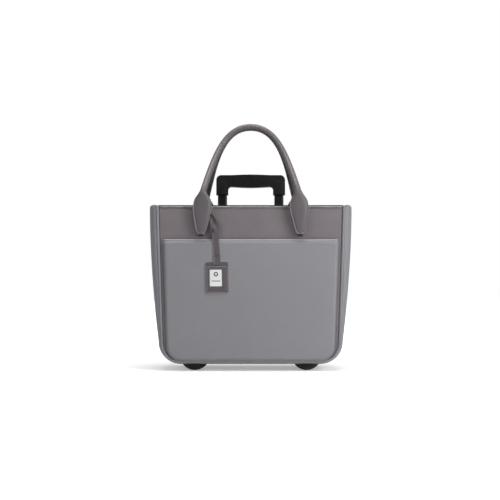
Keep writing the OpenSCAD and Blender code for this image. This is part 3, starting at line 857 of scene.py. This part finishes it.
pocket_seam = half_line(POCKET[0] - 3 * MM, *POCKET[1:3], POCKET[3] - 3 * MM, POCKET[4] - 3 * MM,
                        POCKET[5] + 3 * MM, POCKET[6] - 4 * MM)
pocket_seam = whole_line(pocket_seam, bottom_stops)
stitches("pocket_stitches", raised(pocket_seam, -1, -pocket_low.y - 0.55 * MM), "case",
         "grey_leather")
stitches("pocket_top_stitches",
         [(x, pocket_low.y - 0.15 * MM, pocket_high.z - 4 * MM)
          for x in np.linspace(-POCKET[0] + 8 * MM, POCKET[0] - 8 * MM, 30)], "case", "grey_leather")
for side, face, label in ((-1, -front_face, "front"), (1, back_face, "rear")):
    stitches(label + "_top_stitches",
             [(x, side * (face + 0.75 * MM), case_top - 6.2 * MM)
              for x in np.linspace(-SEAM[0] + 8 * MM, SEAM[0] - 8 * MM, 30)], "case",
             "mauve_leather" if side < 0 else "grey_leather")

# ---- Handle hardware -------------------------
# Polished bars are riveted to the panels under each tab and carry the hinge pins.
# Each tab ends in a steel tongue sewn in between its layers and rolled round the pin.
def make_metal_wear():
    """Fine directional scratches and a few smudges for metal and hard gloss surfaces."""
    group, given, result = new_group(
        "metal_wear", Vector=None, Tone=(0.5, 0.5, 0.5, 1), Deep_Tone=(0.4, 0.4, 0.4, 1), Gloss=0.2,
        Brushing=0.1)
    drawn = shader_node(group, "Mapping", Scale=(2400.0, 2400.0, 30.0))
    wire(group, given["Vector"], drawn.inputs["Vector"])
    lines = noise_node(group, drawn.outputs["Vector"], 1.0, 3.0, 0.6)
    smudge = noise_node(group, given["Vector"], 70.0, 4.0, 0.55)
    brushed = times(group, lines, given["Brushing"])
    rough = plus(group, plus(group, given["Gloss"], brushed), times(group, smudge, 0.1))
    return given_out(group, result, toned(group, smudge, given), rough, brushed)


METAL_WEAR = make_metal_wear()


def metal(name, tone, deep, gloss, brushing, metallic=1.0, bump_mm=0.01):
    return textured(name, METAL_WEAR, {"Tone": (*tone, 1), "Deep Tone": (*deep, 1),
                                       "Gloss": gloss, "Brushing": brushing},
                    bump_mm, {"Metallic": metallic})


def refinish(paint, *nodes):
    """Gives CAD nodes a better material in their own slots."""
    for node in nodes:
        for slot in bpy.data.objects[node].material_slots:
            slot.material = paint


def soften_shading(part, angle):
    """Smooth shading that keeps the hard edges of a part."""
    with reworked(part.data) as work:
        bmesh.ops.remove_doubles(work, verts=work.verts, dist=1e-6)
        for face in work.faces:
            face.smooth = True
        for edge in work.edges:
            edge.smooth = len(edge.link_faces) == 2 and edge.calc_face_angle(0) < math.radians(angle)


STEEL = metal("steel", (0.42, 0.42, 0.44), (0.34, 0.34, 0.36), 0.06, 0.08)
refinish(STEEL, "front_anchors", "rear_anchors", "front_hinge_pins", "rear_hinge_pins",
         "front_tab_plates", "rear_tab_plates", "snap_socket", "snap_stud")

# ---- Luggage tag -----------------------------
# A doubled strap loops round the left front bar, closes with a snap and passes through the back
# of a two-layer leather tag. The stitched front layer has a window with a plain printed card.
TAG_LEATHER = leather("tag_leather", (0.088, 0.076, 0.083), (0.06, 0.052, 0.057), cells=1100.0,
                      mottling=0.5, gloss=0.42, bump_mm=0.04)
tag_low, tag_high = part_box("tag_body")
card_low, card_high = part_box("tag_card")


def ribbon(name, line, widths, thickness, paint, turns):
    """A strap with rounded edges along a line; turns tilt its width out of the front plane."""
    section = []
    for a in np.linspace(0, 2 * math.pi, 16, endpoint=False):
        section.append((math.copysign(abs(math.cos(a)) ** 0.35, math.cos(a)),
                        math.copysign(abs(math.sin(a)) ** 0.8, math.sin(a))))
    points = []
    for i, p in enumerate(line):
        along = (line[min(i + 1, len(line) - 1)] - line[max(i - 1, 0)]).normalized()
        across = Vector((0, -1, 0)).cross(along).normalized()
        across = Matrix.Rotation(turns[i], 3, along) @ across
        out = along.cross(across)
        points += [p + across * u * widths[i] / 2 + out * v * thickness / 2 for u, v in section]
    return facing_out(show(name, points, capped(len(line), 16), paint))


def curve_through(count, *stations):
    """A smooth curve of count points through stations in millimetres."""
    stations = [[v * MM for v in row] for row in stations]
    return [Vector(row) for row in smooth_through(stations, count)]


def tag_piece(piece, slot="mauve_leather"):
    return fixed_to("tag", piece, slot)


# the two ends of the loop come out from behind the tab and meet at the snap
outer_end = curve_through(
    60, (-103, -82.2, 323.5), (-93, -82.6, 324.5), (-84, -83.4, 326), (-77, -84.6, 319),
    (-71.5, -85.0, 308), (-70.5, -85.2, 298), (-72, -85.4, 286), (-72.6, -85.2, 270),
    (-71.2, -84.9, 252), (-70.2, -85.6, 238), (-69.8, -86.9, 228), (-69.8, -86.6, 221))
strap_widths = [11 * MM - 4.6 * MM * math.exp(-((i - 13) / 9) ** 2) + 2.6 * MM * min(1, i / 59)
                for i in range(60)]
strap_turns = [0.75 * math.exp(-((i - 14) / 9) ** 2) for i in range(60)]
strap = tag_piece(ribbon("tag_strap_front", outer_end, strap_widths, 1.5 * MM, TAG_LEATHER,
                         strap_turns))
inner_end = curve_through(
    40, (-103, -77.0, 321), (-93, -78.6, 320.5), (-86, -81.6, 318), (-81.5, -83.6, 308),
    (-78.5, -86.0, 301), (-77.3, -87.1, 293), (-76.6, -86.9, 287.2))
end_widths = [10.5 * MM - 4 * MM * math.exp(-((i - 18) / 8) ** 2) + 4.6 * MM * max(0, (i - 22) / 17)
              - 9 * MM * max(0.0, (i - 35) / 4) ** 3 for i in range(40)]
tag_piece(ribbon("tag_strap_end", inner_end, end_widths, 1.4 * MM, TAG_LEATHER,
                 [-0.5 * math.exp(-((i - 18) / 8) ** 2) for i in range(40)]))
turn = []
for a in np.linspace(0, math.pi, 12):
    turn.append(Vector((-103.0 * MM - 8.4 * MM * math.sin(a), (-79.6 - 2.6 * math.cos(a)) * MM,
                        (322.3 + 1.2 * math.cos(a)) * MM)))
tag_piece(ribbon("tag_strap_loop", turn, [9 * MM] * 12, 1.3 * MM, TAG_LEATHER,
                 [math.pi / 2] * 12))
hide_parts("tag_strap")



def dome(name, middle, radius, height, paint):
    """A pressed metal cap facing front, with a rolled rim."""
    rings = [(0.0, 1.0), (0.35, 0.93), (0.62, 0.72), (0.8, 0.42), (0.84, 0.3), (0.9, 0.5),
             (1.0, 0.35), (1.0, 0.0), (0.0, 0.0)]
    sides = 32
    points = []
    for share, up in rings:
        for a in np.linspace(0, 2 * math.pi, sides, endpoint=False):
            points.append((middle[0] + radius * share * math.cos(a), middle[1] - height * up,
                           middle[2] + radius * share * math.sin(a)))
    return facing_out(show(name, points, grid_faces(len(rings), sides, wrap=True), paint))


GUNMETAL = metal("gunmetal", (0.1, 0.1, 0.105), (0.06, 0.06, 0.065), 0.2, 0.05)
stud = dome("snap_cap", (-77.3 * MM, -87.9 * MM, 293.4 * MM), 4.0 * MM, 1.3 * MM, GUNMETAL)
tag_piece(stud, "steel")
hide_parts("tag_stud")


def rounded_line(middle, size, corner, count=8):
    """Closed (x, z) outline of a rounded rectangle."""
    line = []
    for sx, sz, start in ((1, 1, 0), (-1, 1, 90), (-1, -1, 180), (1, -1, 270)):
        for a in np.radians(np.linspace(start, start + 90, count)):
            line.append((middle[0] + sx * (size[0] / 2 - corner) + corner * math.cos(a),
                         middle[1] + sz * (size[1] / 2 - corner) + corner * math.sin(a)))
    return line


def tilted(line, y, tilt, pivot):
    """Sets an (x, z) line at a depth, turned about a point."""
    points = []
    for x, z in line:
        dx, dz = x - pivot[0], z - pivot[1]
        points.append((pivot[0] + dx * math.cos(tilt) - dz * math.sin(tilt), y,
                       pivot[1] + dx * math.sin(tilt) + dz * math.cos(tilt)))
    return points


def layer(name, outlines, paint, tilt=0.0, pivot=(0, 0)):
    """A leather layer lofted through outlines [(line, depth)], capped at both ends or ring-shaped."""
    points = [p for line, y in outlines for p in tilted(line, y, tilt, pivot)]
    n = len(outlines[0][0])
    ring_shaped = outlines[0] == outlines[-1]
    faces = grid_faces(len(outlines), n, wrap=True) if ring_shaped else capped(len(outlines), n)
    return facing_out(show(name, points, faces, paint))


tag_tilt = math.radians(1.2)
tag_mid = ((tag_low.x + tag_high.x) / 2, (tag_low.z + tag_high.z) / 2)
tag_size = (tag_high.x - tag_low.x - 1.4 * MM, tag_high.z - tag_low.z - 1.4 * MM)
tag_back = tag_high.y
window_mid = ((card_low.x + card_high.x) / 2, (card_low.z + card_high.z) / 2)


def pillow(middle, size, corner, y_back, depth, edge=0.7 * MM):
    """Outlines of a slab with softened edges, from its back to its front face."""
    def inset(cut):
        return rounded_line(middle, (size[0] - 2 * cut, size[1] - 2 * cut), corner - cut)

    front = y_back - depth
    return [(inset(edge), y_back), (inset(0), y_back - edge * 0.6), (inset(0), front + edge * 0.6),
            (inset(edge / 2), front + edge * 0.15), (inset(1.2 * edge), front)]


back_leather = layer("tag_back", pillow(tag_mid, tag_size, 5 * MM, tag_back, 1.9 * MM),
                     TAG_LEATHER, tag_tilt, tag_mid)
tag_piece(back_leather)
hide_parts("tag_body")
front_mid = (tag_mid[0], tag_mid[1] - 4.6 * MM)
front_size = (tag_size[0] - 3.6 * MM, tag_size[1] - 11.2 * MM)
window = (card_high.x - card_low.x, card_high.z - card_low.z)


def framed(middle, size, corner, hole_mid, hole, y_back, y_front):
    """A ring-shaped layer: rounded outside, rectangular window inside."""
    def grown(d):
        return rounded_line(middle, (size[0] + 2 * d, size[1] + 2 * d), corner + d)

    def opening(d):
        return rounded_line(hole_mid, (hole[0] + 2 * d, hole[1] + 2 * d), 1.2 * MM + max(d, 0))
    soft = 0.7 * MM
    rows = [(opening(0), y_back), (grown(0), y_back), (grown(0), y_front + soft),
            (grown(-0.25 * soft), y_front + 0.3 * soft), (grown(-soft), y_front),
            (grown(-3 * MM), y_front + 0.0002), (grown(-3.6 * MM), y_front + 0.0004),
            (grown(-4.4 * MM), y_front + 0.0001), (opening(1.6 * MM), y_front),
            (opening(0.5 * MM), y_front + 0.2 * soft), (opening(0), y_front + soft),
            (opening(0), y_back)]
    return rows


front_leather = layer("tag_front", framed(front_mid, front_size, 4.4 * MM, window_mid, window,
                                          tag_back - 1.9 * MM, tag_low.y),
                      TAG_LEATHER, tag_tilt, tag_mid)
tag_piece(front_leather)


def turned(line, y):
    """Sets an (x, z) line at a depth, tilted with the tag."""
    return tilted(line, y, tag_tilt, tag_mid)


seam = rounded_line(front_mid, (front_size[0] - 7.2 * MM, front_size[1] - 7.2 * MM), 1.6 * MM)
stitches("tag_stitches", turned(seam + seam[:1], tag_low.y + 0.2 * MM), "tag", "mauve_leather",
         step=2.4 * MM, width=0.28 * MM)
# paler leather on the tag's and the strap's edges: a painted highlight
CUT_EDGE_HIGHLIGHT = leather("cut_edge_painted_highlight", (0.36, 0.335, 0.355), (0.22, 0.2, 0.215), cells=1800.0,
                     mottling=0.6, gloss=0.4, bump_mm=0.04)


def bead(name, line, radius, body, slot, paint=CUT_EDGE_HIGHLIGHT, sides=8):
    """The rounded edge of a cut piece of leather, painted paler as a highlight unless another paint is
    given.
    """
    edge = tube(name, line, radius, paint, sides=sides)
    return fixed_to(body, edge, slot)


outer_edge = rounded_line(front_mid, (front_size[0] - 0.8 * MM, front_size[1] - 0.8 * MM), 4.2 * MM)
bead("tag_front_edge", turned(outer_edge + outer_edge[:1], tag_low.y + 0.35 * MM), 0.42 * MM,
     "tag", "mauve_leather")
outer_edge = rounded_line(tag_mid, (tag_size[0] - 0.8 * MM, tag_size[1] - 0.8 * MM), 4.8 * MM)
bead("tag_back_edge", turned(outer_edge + outer_edge[:1], tag_back - 1.6 * MM), 0.42 * MM,
     "tag", "mauve_leather")
left_edge = [p - Vector((w / 2 - 0.3 * MM, 0.55 * MM, 0)) for p, w in zip(outer_end, strap_widths)]
bead("strap_edge", left_edge[22:], 0.4 * MM, "tag", "mauve_leather")
# a dark line across the strap where it bends forward: painted shade in the fold
bead("strap_fold", [(x * MM, -87.75 * MM, 240.3 * MM) for x in (-75.5, -72, -68, -64.6)], 0.35 * MM,
     "tag", "mauve_leather", paint=DARK_EDGE_PAINT_AND_SHADE)


def make_card():
    """A white card with ruled lines and a plain ring, all printed grey."""
    group, given, result = new_group(
        "printed_card", Vector=None, Tone=(0.66, 0.66, 0.65, 1), Deep_Tone=(0.02, 0.02, 0.025, 1),
        Line_Gap=0.0052, Middle=None)
    local = shader_node(group, "VectorMath")
    local.operation = "SUBTRACT"
    wire(group, given["Vector"], local.inputs[0])
    wire(group, given["Middle"], local.inputs[1])
    split = shader_node(group, "SeparateXYZ")
    wire(group, local.outputs[0], split.inputs[0])
    x, z = split.outputs["X"], split.outputs["Z"]
    wide = maths(group, "LESS_THAN", maths(group, "ABSOLUTE", x), 0.0088)
    low = maths(group, "LESS_THAN", z, 0.001)
    above = maths(group, "GREATER_THAN", z, -0.0135)
    wave = maths(group, "PINGPONG", plus(group, z, 0.1), given["Line Gap"])
    ruled = maths(group, "LESS_THAN", wave, 0.0008)
    rules = times(group, times(group, ruled, wide), times(group, low, above))
    dz = minus(group, z, 0.0078)
    away = maths(group, "SQRT", plus(group, times(group, x, x), times(group, dz, dz)))
    off_ring = maths(group, "ABSOLUTE", minus(group, away, 0.0035))
    ink = maths(group, "MAXIMUM", rules, maths(group, "LESS_THAN", off_ring, 0.0012))
    fibre = noise_node(group, given["Vector"], 1500.0, 2.0)
    return given_out(group, result, toned(group, ink, given),
                     plus(group, 0.45, times(group, fibre, 0.2)), fibre)


CARD = textured("card", make_card(), {"Middle": (window_mid[0], 0.0, window_mid[1])}, 0.02, {})
refinish(CARD, "tag_card")

# ---- Pull handle -----------------------------
# A glass-filled nylon grip with a sprung release button sits on black anodised tubes.
# The tubes slide through moulded collars and stand in a bracket between the wheel housings.
def make_moulding():
    """Spark-eroded moulding texture with rubbed patches and light scuffs."""
    group, given, result = new_group(
        "moulded_texture", Vector=None, Tone=(0.012, 0.012, 0.014, 1),
        Deep_Tone=(0.02, 0.02, 0.022, 1), Gloss=0.42, Grain_per_Metre=1800.0)
    grain = noise_node(group, given["Vector"], given["Grain per Metre"], 2.0)
    rub = noise_node(group, given["Vector"], 40.0, 4.0, 0.6)
    rough = minus(group, given["Gloss"], times(group, minus(group, rub, 0.5), 0.3))
    return given_out(group, result, toned(group, spread_out(group, rub, 0.4, 0.7), given), rough,
                     grain)


MOULDING = make_moulding()


def plastic(name, tone, deep, gloss=0.42, grain=1800.0, bump_mm=0.05, **fixed):
    fixed = {"Specular IOR Level": 0.3, **fixed}
    return textured(name, MOULDING, {"Tone": (*tone, 1), "Deep Tone": (*deep, 1), "Gloss": gloss,
                                     "Grain per Metre": grain}, bump_mm, fixed)


BLACK_PLASTIC = plastic("black_plastic", (0.006, 0.006, 0.007), (0.011, 0.011, 0.012), gloss=0.38)
BUTTON_PLASTIC = plastic("button_plastic", (0.01, 0.01, 0.011), (0.014, 0.014, 0.015), gloss=0.24,
                         bump_mm=0.01)
POLE_METAL = metal("pole_metal", (0.012, 0.012, 0.013), (0.018, 0.018, 0.02), 0.3, 0.12,
                   metallic=0.6)
SPRING_STEEL = metal("spring_steel", (0.5, 0.5, 0.52), (0.38, 0.38, 0.4), 0.28, 0.15)


def softened(node, width, paint, body, slot):
    """A copy of a CAD node with rounded edges, in place of the node."""
    copy = bpy.data.objects.new(node + "_finished", bpy.data.objects[node].data.copy())
    bpy.context.scene.collection.objects.link(copy)
    with reworked(copy.data) as work:
        bmesh.ops.remove_doubles(work, verts=work.verts, dist=1e-5)
        bmesh.ops.dissolve_limit(work, angle_limit=math.radians(1.5), verts=work.verts,
                                 edges=work.edges)
        sharp = [e for e in work.edges
                 if len(e.link_faces) == 2 and e.calc_face_angle(0) > math.radians(30)]
        bmesh.ops.bevel(work, geom=sharp, offset=width, segments=3, profile=0.6, affect="EDGES",
                        clamp_overlap=True)
    copy.data.materials.clear()
    copy.data.materials.append(paint)
    copy.data.polygons.foreach_set("material_index", [0] * len(copy.data.polygons))
    soften_shading(copy, 40)
    return fixed_to(body, copy, slot, node)


grip = softened("grip_shell", 1.1 * MM, BLACK_PLASTIC, "pole_inner", "black_plastic")
grip_low, grip_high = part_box("grip_shell")


def swell_grip():
    """Crowns the crossbar above and below so that it fills the hand."""
    reach = 47 * MM
    middle = grip_high.z - 13 * MM
    with reworked(grip.data) as work:
        for x in np.linspace(-reach, reach, 21):
            cut_across(work, (x, 0, 0), (1, 0, 0))
        for vert in work.verts:
            if abs(vert.co.x) < reach and vert.co.z > grip_high.z - 27 * MM:
                share = math.cos(math.pi / 2 * vert.co.x / reach) ** 1.5
                vert.co.z += (1.3 if vert.co.z > middle else -1.9) * MM * share
    soften_shading(grip, 40)


swell_grip()
softened("grip_button", 1.2 * MM, BUTTON_PLASTIC, "button", "button_plastic")
softened("collar_left", 0.6 * MM, BLACK_PLASTIC, "case", "black_plastic")
softened("collar_right", 0.6 * MM, BLACK_PLASTIC, "case", "black_plastic")
refinish(POLE_METAL, "outer_tube_left", "outer_tube_right", "mid_tube_left", "mid_tube_right",
         "inner_tube_left", "inner_tube_right")
refinish(BLACK_PLASTIC, "base_bracket", "mid_guides")
refinish(SPRING_STEEL, "release_bar", "push_rods", "button_spring", "bracket_screws",
         "foot_screws", "wheel_axles", "bearings_left", "bearings_right")

skirt_line = [(12.6 * MM * math.cos(a), grip_high.z - 1.1 * MM + 2.3 * MM * math.sin(a))
              for a in np.linspace(0, 2 * math.pi, 40, endpoint=False)]
skirt = layer("button_skirt", [(skirt_line, grip_low.y + 1.6 * MM), (skirt_line, grip_low.y - 0.1 * MM),
                               ([(x * 0.93, grip_high.z - 1.1 * MM + (z - grip_high.z + 1.1 * MM) * 0.8)
                                 for x, z in skirt_line], grip_low.y - 0.45 * MM)],
              BUTTON_PLASTIC)
fixed_to("button", skirt, "button_plastic")
leg_mid = (grip_high.x + 49.8 * MM) / 2
for side in (-1, 1):
    plate = layer("grip_plate_" + ("left" if side < 0 else "right"),
                  pillow((side * leg_mid, grip_low.z + 15.5 * MM), (17 * MM, 29 * MM), 3.5 * MM,
                         grip_low.y + 0.6 * MM, 1.3 * MM, 0.5 * MM), BLACK_PLASTIC)
    fixed_to("pole_inner", plate, "black_plastic")

# ---- Wheels, housings and feet ---------------
# Nylon housings hold polyurethane wheels on steel axles; two domed nylon feet are screwed
# under the front edge.
TYRE = plastic("tyre_rubber", (0.014, 0.014, 0.015), (0.028, 0.027, 0.027), gloss=0.62,
               grain=900.0, bump_mm=0.06)
HUB = plastic("hub_plastic", (0.02, 0.02, 0.022), (0.03, 0.03, 0.032), gloss=0.4)
refinish(TYRE, "tyre_left", "tyre_right")
refinish(HUB, "wheel_hub_left", "wheel_hub_right")
for side in ("left", "right"):
    softened("wheel_housing_" + side, 1.5 * MM, BLACK_PLASTIC, "case", "black_plastic")
refinish(BLACK_PLASTIC, "foot_left", "foot_right")

# ---- Inside of the case ----------------------
# A woven nylon lining hangs inside the leather; it covers a stiff base board.
# A padded divider, bound at its top edge, keeps the laptop against the back.
def make_weave():
    """Plain weave of round threads, painted darker between them as shade, with slow tonal changes."""
    group, given, result = new_group(
        "woven_cloth", Vector=None, Tone=(0.07, 0.065, 0.075, 1),
        Deep_Tone=(0.04, 0.036, 0.042, 1), Threads_per_Metre=1300.0)
    split = shader_node(group, "SeparateXYZ")
    wire(group, given["Vector"], split.inputs[0])
    waves = []
    for axis in "XZ":
        along = plus(group, split.outputs[axis], split.outputs["Y"])
        turn = times(group, times(group, along, given["Threads per Metre"]), math.pi)
        waves.append(maths(group, "SINE", turn))
    height = maths(group, "ABSOLUTE", times(group, *waves))
    # low places between the threads darken the colour: painted shade
    deep = minus(group, 1.0, height)
    slow = noise_node(group, given["Vector"], 25.0)
    shade = plus(group, times(group, deep, 0.6), times(group, slow, 0.4))
    return given_out(group, result, toned(group, shade, given),
                     plus(group, 0.6, times(group, deep, 0.2)), height)


LINING = textured("lining_fabric", make_weave(), {}, 0.12, {"Sheen Weight": 0.15})
BOARD = plastic("board", (0.03, 0.03, 0.032), (0.045, 0.043, 0.042), gloss=0.7, grain=600.0,
                bump_mm=0.15)
lining_low, lining_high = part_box("lining")
lining_shell = whole_line(half_line(*SHELL, lining_high.z), bottom_stops)
lining_seam = whole_line(half_line(*SEAM[:6], lining_high.z), bottom_stops)
lining_rings = 30
half_count = len(half_line(*SHELL, lining_high.z))


def lining_ring(y, slack_share):
    """The bag's outline at one depth, 3.4 mm inside the rolled band."""
    ring = []
    for (sx, sz), (ex, ez) in zip(lining_shell, lining_seam):
        inward = Vector((ex - sx, ez - sz))
        aim = inward.normalized()
        loose = 0.0012 * abs(noise.noise(Vector((sx * 22, y * 30, sz * 22))))
        loose += 0.009 * max(0.0, (sz - 0.08) / 0.27) ** 1.4 * slack_share ** 2
        move = inward * share_at(y) + aim * (3.4 * MM + loose)
        ring.append((sx + move.x, y, min(sz + move.y, lining_high.z)))
    return ring


def make_lining():
    """One fabric bag: its two faces and the long band between them, with slack between seams."""
    depths = np.linspace(lining_low.y + 0.8 * MM, lining_high.y - 0.8 * MM, lining_rings)
    rings = [lining_ring(y, math.sin(math.pi * k / (lining_rings - 1)))
             for k, y in enumerate(depths)]
    points = [p for ring in rings for p in ring]
    faces = grid_faces(len(rings), len(rings[0]))
    for ring, way in ((rings[0], 1), (rings[-1], -1)):
        first = len(points)
        columns = 45
        for x, y, z in ring[:half_count]:
            for u in np.linspace(-1, 1, columns):
                crease = 0.0016 * noise.noise(Vector((u * x * 14, 7.0 * way, z * 9)))
                points.append((u * x, y + way * (0.0008 + abs(crease)), z))
        faces += [tuple(first + k for k in f) for f in grid_faces(half_count, columns)]
    return show("lining_bag", points, faces, LINING)


lining = make_lining()
cut_for_housings(lining)
wall = lining.modifiers.new("wall", "SOLIDIFY")
wall.thickness = 0.6 * MM
wall.offset = 0.0
settled(lining)
fixed_to("case", lining, "lining_fabric", "lining")

divider_low, divider_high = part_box("divider")


def make_divider():
    line = half_line(divider_high.x, 0.0195, 1.8, 0.036, 0.034, divider_low.z, divider_high.z,
                     side_steps=26)
    columns = 41
    flat = panel_points(line, columns)
    away = distances(flat, closed_outline(line))
    middle = (divider_low.y + divider_high.y) / 2
    half_t = (divider_high.y - divider_low.y) / 2
    points = []
    for way in (-1, 1):
        for (x, z), d in zip(flat, away):
            swell = 0.45 + 0.55 * rounded_edge(np.array([d]), 9 * MM)[0]
            quilt = 0.25 * abs(math.sin(x * 62)) ** 0.4 * min(1.0, d / 0.02)
            points.append((x, middle + way * half_t * (swell - 0.25 + quilt), z))
    return facing_out(show("divider_pad", points, slab_faces(len(line), columns), LINING))


divider = make_divider()
cut_for_housings(divider)
fixed_to("case", divider, "lining_fabric", "divider")
top_half = divider_high.x - 1.2 * MM
binding = tube("divider_binding",
               [(x, (divider_low.y + divider_high.y) / 2, divider_high.z - 0.6 * MM)
                for x in np.linspace(-top_half, top_half, 40)], 2.4 * MM, MAUVE_LEATHER, sides=14)
fixed_to("case", binding, "mauve_leather")

refinish(BOARD, "base_board", "trolley_board")

# ---- Closure and rear cover ------------------
# A leather strap hinged at the back snaps onto a tab sewn behind the front panel.
# A leather-covered strip closes the space round the pull handle's tubes.
cover = softened("trolley_top_cover", 0.7 * MM, MAUVE_LEATHER, "case", "mauve_leather")
for vertex in cover.data.vertices:
    reach = shell_half - share_at(vertex.co.y) * (shell_half - seam_half_w) - 4 * MM
    vertex.co.x = max(-reach, min(reach, vertex.co.x))
softened("snap_tab", 0.8 * MM, MAUVE_LEATHER, "case", "mauve_leather")
closure_low, closure_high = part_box("closure_strap")


def make_closure():
    """A two-layer strap with a rounded free end."""
    middle = (closure_low.z + closure_high.z) / 2
    half_w = (closure_high.x - closure_low.x) / 2
    half_t = (closure_high.z - closure_low.z) / 2
    stations = []
    for y in np.linspace(closure_low.y + 0.2 * MM, closure_high.y - 0.4 * MM, 48):
        near = y - closure_low.y
        round_end = math.sqrt(max(0.02, 1 - max(0.0, 1 - near / half_w) ** 2)) if near < half_w else 1
        stations.append((y, half_w * round_end))
    points = []
    for y, w in stations:
        for a in np.linspace(0, 2 * math.pi, 20, endpoint=False):
            u = math.copysign(abs(math.cos(a)) ** 0.3, math.cos(a))
            v = math.copysign(abs(math.sin(a)) ** 0.8, math.sin(a))
            points.append((u * w, y, middle + v * half_t))
    return facing_out(show("closure_leather", points, capped(len(stations), 20), MAUVE_LEATHER))


closure = make_closure()
fixed_to("closure", closure, "mauve_leather", "closure_strap")
half_w = closure_high.x - 3 * MM
edge = [(half_w, y, closure_high.z)
        for y in np.linspace(closure_high.y - 4 * MM, closure_low.y + 17 * MM, 12)]
edge += [(half_w * math.cos(a), closure_low.y + (17 - 14 * math.sin(a)) * MM, closure_high.z)
         for a in np.linspace(0.1, math.pi - 0.1, 18)]
edge += [(-x, y, z) for x, y, z in reversed(edge[:12])]
stitches("closure_stitches", edge, "closure", "mauve_leather")
